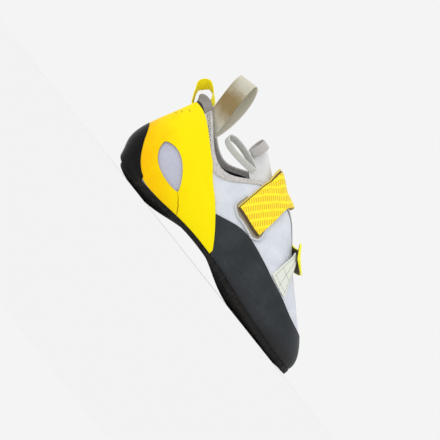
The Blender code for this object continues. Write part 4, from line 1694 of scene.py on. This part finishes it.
@dataclass
class Straps:
    """The instep strap on its landing patch, and the small strap over the toe end of the throat."""

    instep: tuple[StrapRow, ...] = (
        StrapRow(-1.455, 4.98, 6.20), StrapRow(-1.22, 5.10, 6.45), StrapRow(-1.0, 5.08, 6.52),
        StrapRow(0.0, 5.05, 6.60), StrapRow(1.0, 5.00, 6.40), StrapRow(1.50, 4.92, 6.05),
    )
    landing: tuple[StrapRow, ...] = (
        StrapRow(-1.535, 5.10, 5.98), StrapRow(-1.50, 4.92, 6.18), StrapRow(-1.30, 4.86, 6.26),
    )
    landed_from: float = 0.95
    landed_over: float = 0.25
    curl: float = 0.0090
    curl_at: float = -0.35
    curl_reach: float = 0.50
    curl_share: float = 0.50
    toe_low: tuple[Edge, ...] = (Edge(8.8, .825), Edge(10.0, .795), Edge(11.5, .75), Edge(12.8, .66))
    toe_high: tuple[Edge, ...] = (Edge(8.8, .972), Edge(10.0, .968), Edge(11.5, .945), Edge(12.8, .875))
    toe_lift: float = 0.0060
    web_lift: float = 0.0045
    web_lift_from: float = -1.42
    web_lift_over: float = 0.30
    web: tuple[StrapRow, ...] = (
        StrapRow(-1.50, 7.45, 8.50), StrapRow(-1.30, 8.00, 8.95), StrapRow(-1.12, 8.75, 9.45),
    )
    end_bow: float = 0.022
    layers: tuple[Layer, ...] = (
        Layer("instep_strap_backing", Look.STRAP_BACK, 0.0, 0.0008, rear=0.07, end=0.004),
        # The core reaches past the face at the rear and the end, as a dark band that is partly hook core and
        # partly painted shade.
        Layer("instep_strap_core", Look.STRAP_CORE_AND_SHADE, 0.0008, 0.0012, rear=0.03, end=0.024, rim=0.0001),
        Layer("instep_strap_face", Look.STRAP, 0.0012, STRAP, stands_for=("instep_strap",)),
    )
    lining_painted_shade: float = 0.0003
    lining_inset: float = 0.006
    welt: float = 0.0011
    hair: float = 0.0001
    web_rows: tuple[int, ...] = (2, 10, 18)
    web_columns: tuple[int, ...] = (5, 20)

    @staticmethod
    def spread(table: Sequence[StrapRow], columns: int, rows: int, rear: float = 0.0,
               end: float = 0.0, bow: float = 0.0) -> tuple[Array, Array, Array]:
        """A strap's grid.

        Args:
            table: The strap's edges.
            columns, rows: Steps along and across it.
            rear: Share of its width that it stands out behind the table's rear edge.
            end: How far it runs on past the table's first row.
            bow: How far the middle of that end stands out.

        Returns:
            Places, steps across the section and shares of the strap's width.
        """
        across = np.linspace(table[0].across - end, table[-1].across, columns)[:, None]
        edges = eased(table, across[:, 0])
        share = np.linspace(-rear, 1, rows)
        places = edges[:, :1] + (edges[:, 1:] - edges[:, :1]) * share
        fade = np.linspace(1, 0, columns)[:, None] ** 4
        return places, across - bow * 4 * share * (1 - share) * fade, share

    def clearance(self, across: Array, share: Array) -> Array:
        """The instep strap's distance from the upper: over its landing, with a curled rear edge.

        Args:
            across: Steps across the section.
            share: Shares of the strap's width.

        Returns:
            The distances.
        """
        landed = ease((-across - self.landed_from) / self.landed_over)
        crown = np.exp(-((across - self.curl_at) / self.curl_reach) ** 2)
        rear = np.clip(1 - share / self.curl_share, 0, 2) ** 2
        return GAP + (LANDING + GAP) * landed + self.curl * crown * rear

    def build(self) -> None:
        """Builds both straps."""
        for layer in self.layers:
            places, across, share = self.spread(self.instep, 121, 33, layer.rear, layer.end, self.end_bow)
            inside = self.clearance(across, share)
            outer = proud(LAST.over, places, across, inside + layer.high)
            inner = proud(LAST.over, places, across, inside + layer.low)
            Sheet(layer.name, outer, inner, (layer.look,), "strap_yellow", layer.stands_for,
                  rim=layer.rim).build()
        self.build_landing()
        self.build_toe_strap()

    def build_landing(self) -> None:
        """The pile patch under the strap's end, with a welt round its edge."""
        places, across, _ = self.spread(self.landing, 41, 49)
        outer = proud(LAST.over, places, across, GAP + LANDING)
        inner = proud(LAST.over, places, across, self.hair)
        Sheet("landing_patch", outer, inner, (Look.LANDING,), "landing_beige", ("strap_landing",),
              rim=0.0004).build()
        ring = np.concatenate([outer[::-1, 0], outer[0, 1:-1], outer[:, -1]])
        add_piece("landing_welt", welt_mesh(ring, self.welt), (Look.LANDING_RIM,))

    def build_toe_strap(self) -> None:
        """The yellow band over the toe end of the throat and its stitched web."""
        places = np.linspace(self.toe_low[0].place, self.toe_low[-1].place, 101)
        lows, highs = eased(self.toe_low, places)[:, 0], eased(self.toe_high, places)[:, 0]
        lifted = (GAP + WEB + self.toe_lift) * ease(np.linspace(1, 0, len(places)))[:, None] + GAP
        outer, inner = wall_skins(places, lows, highs, 21, lifted + self.lining_painted_shade, lifted + STRAP)
        Sheet("toe_strap_face", outer, inner, (Look.TOE_STRAP,), "strap_yellow", ("toe_strap",),
              rim=0.0003).build()
        lows, highs = lows + self.lining_inset, highs - self.lining_inset
        outer, inner = wall_skins(places, lows, highs, 21, lifted, lifted + self.lining_painted_shade)
        # The backing under the toe strap takes the dark core finish, partly painted shade under the strap.
        Sheet("toe_strap_backing", outer, inner, (Look.STRAP_CORE_AND_SHADE,), "strap_yellow", rim=0.0).build()
        places, across, _ = self.spread(self.web, 49, 21)
        raised = self.web_lift * ease((across - self.web_lift_from) / self.web_lift_over)
        outer = proud(LAST.over, places, across, raised + GAP + WEB)
        inner = proud(LAST.over, places, across, raised + self.hair)
        Sheet("toe_strap_web_tape", outer, inner, (Look.WEB_TAPE,), "webbing_beige",
              ("toe_strap_web",), rim=0.0003).build()
        thread = Stitching("toe_web_stitches", Look.WEB_THREAD, "webbing_beige", pitch=0.0018,
                           length=0.0015, girth=0.0005)
        normals = outer - inner
        for row in self.web_rows:
            thread.row(outer[2:-2, row], normals[2:-2, row])
        for column in self.web_columns:
            thread.row(outer[column, 2:-2], normals[column, 2:-2])
        thread.build()


class Lamp(NamedTuple):
    """A wide lamp: where it shines from, its power and its spread in degrees."""

    name: str
    place: tuple[float, float, float]
    power: float
    spread: float


@dataclass
class Studio:
    """The floor, the light and the camera."""

    floor_size: float = 8.0
    pale: Colour = (0.905, 0.905, 0.910)
    floor: Colour = (0.860, 0.860, 0.865)
    lamps: tuple[Lamp, ...] = (
        Lamp("key", (-0.70, -0.45, 0.75), 0.50, 45),
        Lamp("fill", (0.45, -1.00, 0.35), 0.25, 60),
    )
    azimuth: float = 8.0
    elevation: float = -2.4
    roll: float = 51.5
    distance: float = 1.0
    aim: tuple[float, float, float] = (-0.0150, -0.0022, 0.0435)
    frame_width: float = 0.400
    sensor: float = 36.0

    def build(self) -> None:
        """Sets the stage."""
        mesh = bmesh.new()
        bmesh.ops.create_grid(mesh, x_segments=1, y_segments=1, size=self.floor_size / 2)
        floor = linked("floor", mesh)
        bench = Bench("pale_floor")
        floor.data.materials.append(bench.done(Base_Color=self.floor, Roughness=0.9, Specular_IOR_Level=0.0))
        self.light()
        self.camera()

    def light(self) -> None:
        """A bright even room and two wide, soft lamps that fall off nowhere."""
        world = bpy.data.worlds.new("room")
        world.use_nodes = True
        world.node_tree.nodes["Background"].inputs["Color"].default_value = (*self.pale, 1.0)
        world.node_tree.nodes["Background"].inputs["Strength"].default_value = 1.0
        bpy.context.scene.world = world
        for name, place, power, spread in self.lamps:
            lamp = bpy.data.lights.new(name, "SUN")
            lamp.energy = power
            lamp.angle = math.radians(spread)
            holder = bpy.data.objects.new(name, lamp)
            holder.rotation_euler = (-Vector(place)).to_track_quat("-Z", "Y").to_euler()
            bpy.context.collection.objects.link(holder)
        bpy.context.scene.view_settings.view_transform = "Standard"

    def camera(self) -> None:
        """The photograph's angle to the shoe, rolled, and kept just above the floor."""
        turn, lift, roll = (math.radians(angle) for angle in (self.azimuth, self.elevation, self.roll))
        right = Vector((math.cos(turn), math.sin(turn), 0.0))
        back = Vector((math.sin(turn) * math.cos(lift), -math.cos(turn) * math.cos(lift), math.sin(lift)))
        up = back.cross(right)
        across = right * math.cos(roll) + up * math.sin(roll)
        above = up * math.cos(roll) - right * math.sin(roll)
        view = bpy.data.cameras.new("camera")
        view.sensor_width = self.sensor
        view.lens = self.sensor * self.distance / self.frame_width
        view.clip_start = 0.01
        camera = bpy.data.objects.new("camera", view)
        pose = Matrix((across, above, back)).transposed().to_4x4()
        camera.matrix_world = Matrix.Translation(Vector(self.aim) + back * self.distance) @ pose
        bpy.context.collection.objects.link(camera)
        bpy.context.scene.camera = camera


def main() -> None:
    logging.basicConfig(level=logging.INFO, format="%(message)s")
    for assembly in (SoleUnit(), Upper(), TensionRand(), ToePatch(), Tongue(), PullLoops(), Straps()):
        assembly.build()
    Studio().build()


if __name__ == "__main__":
    main()
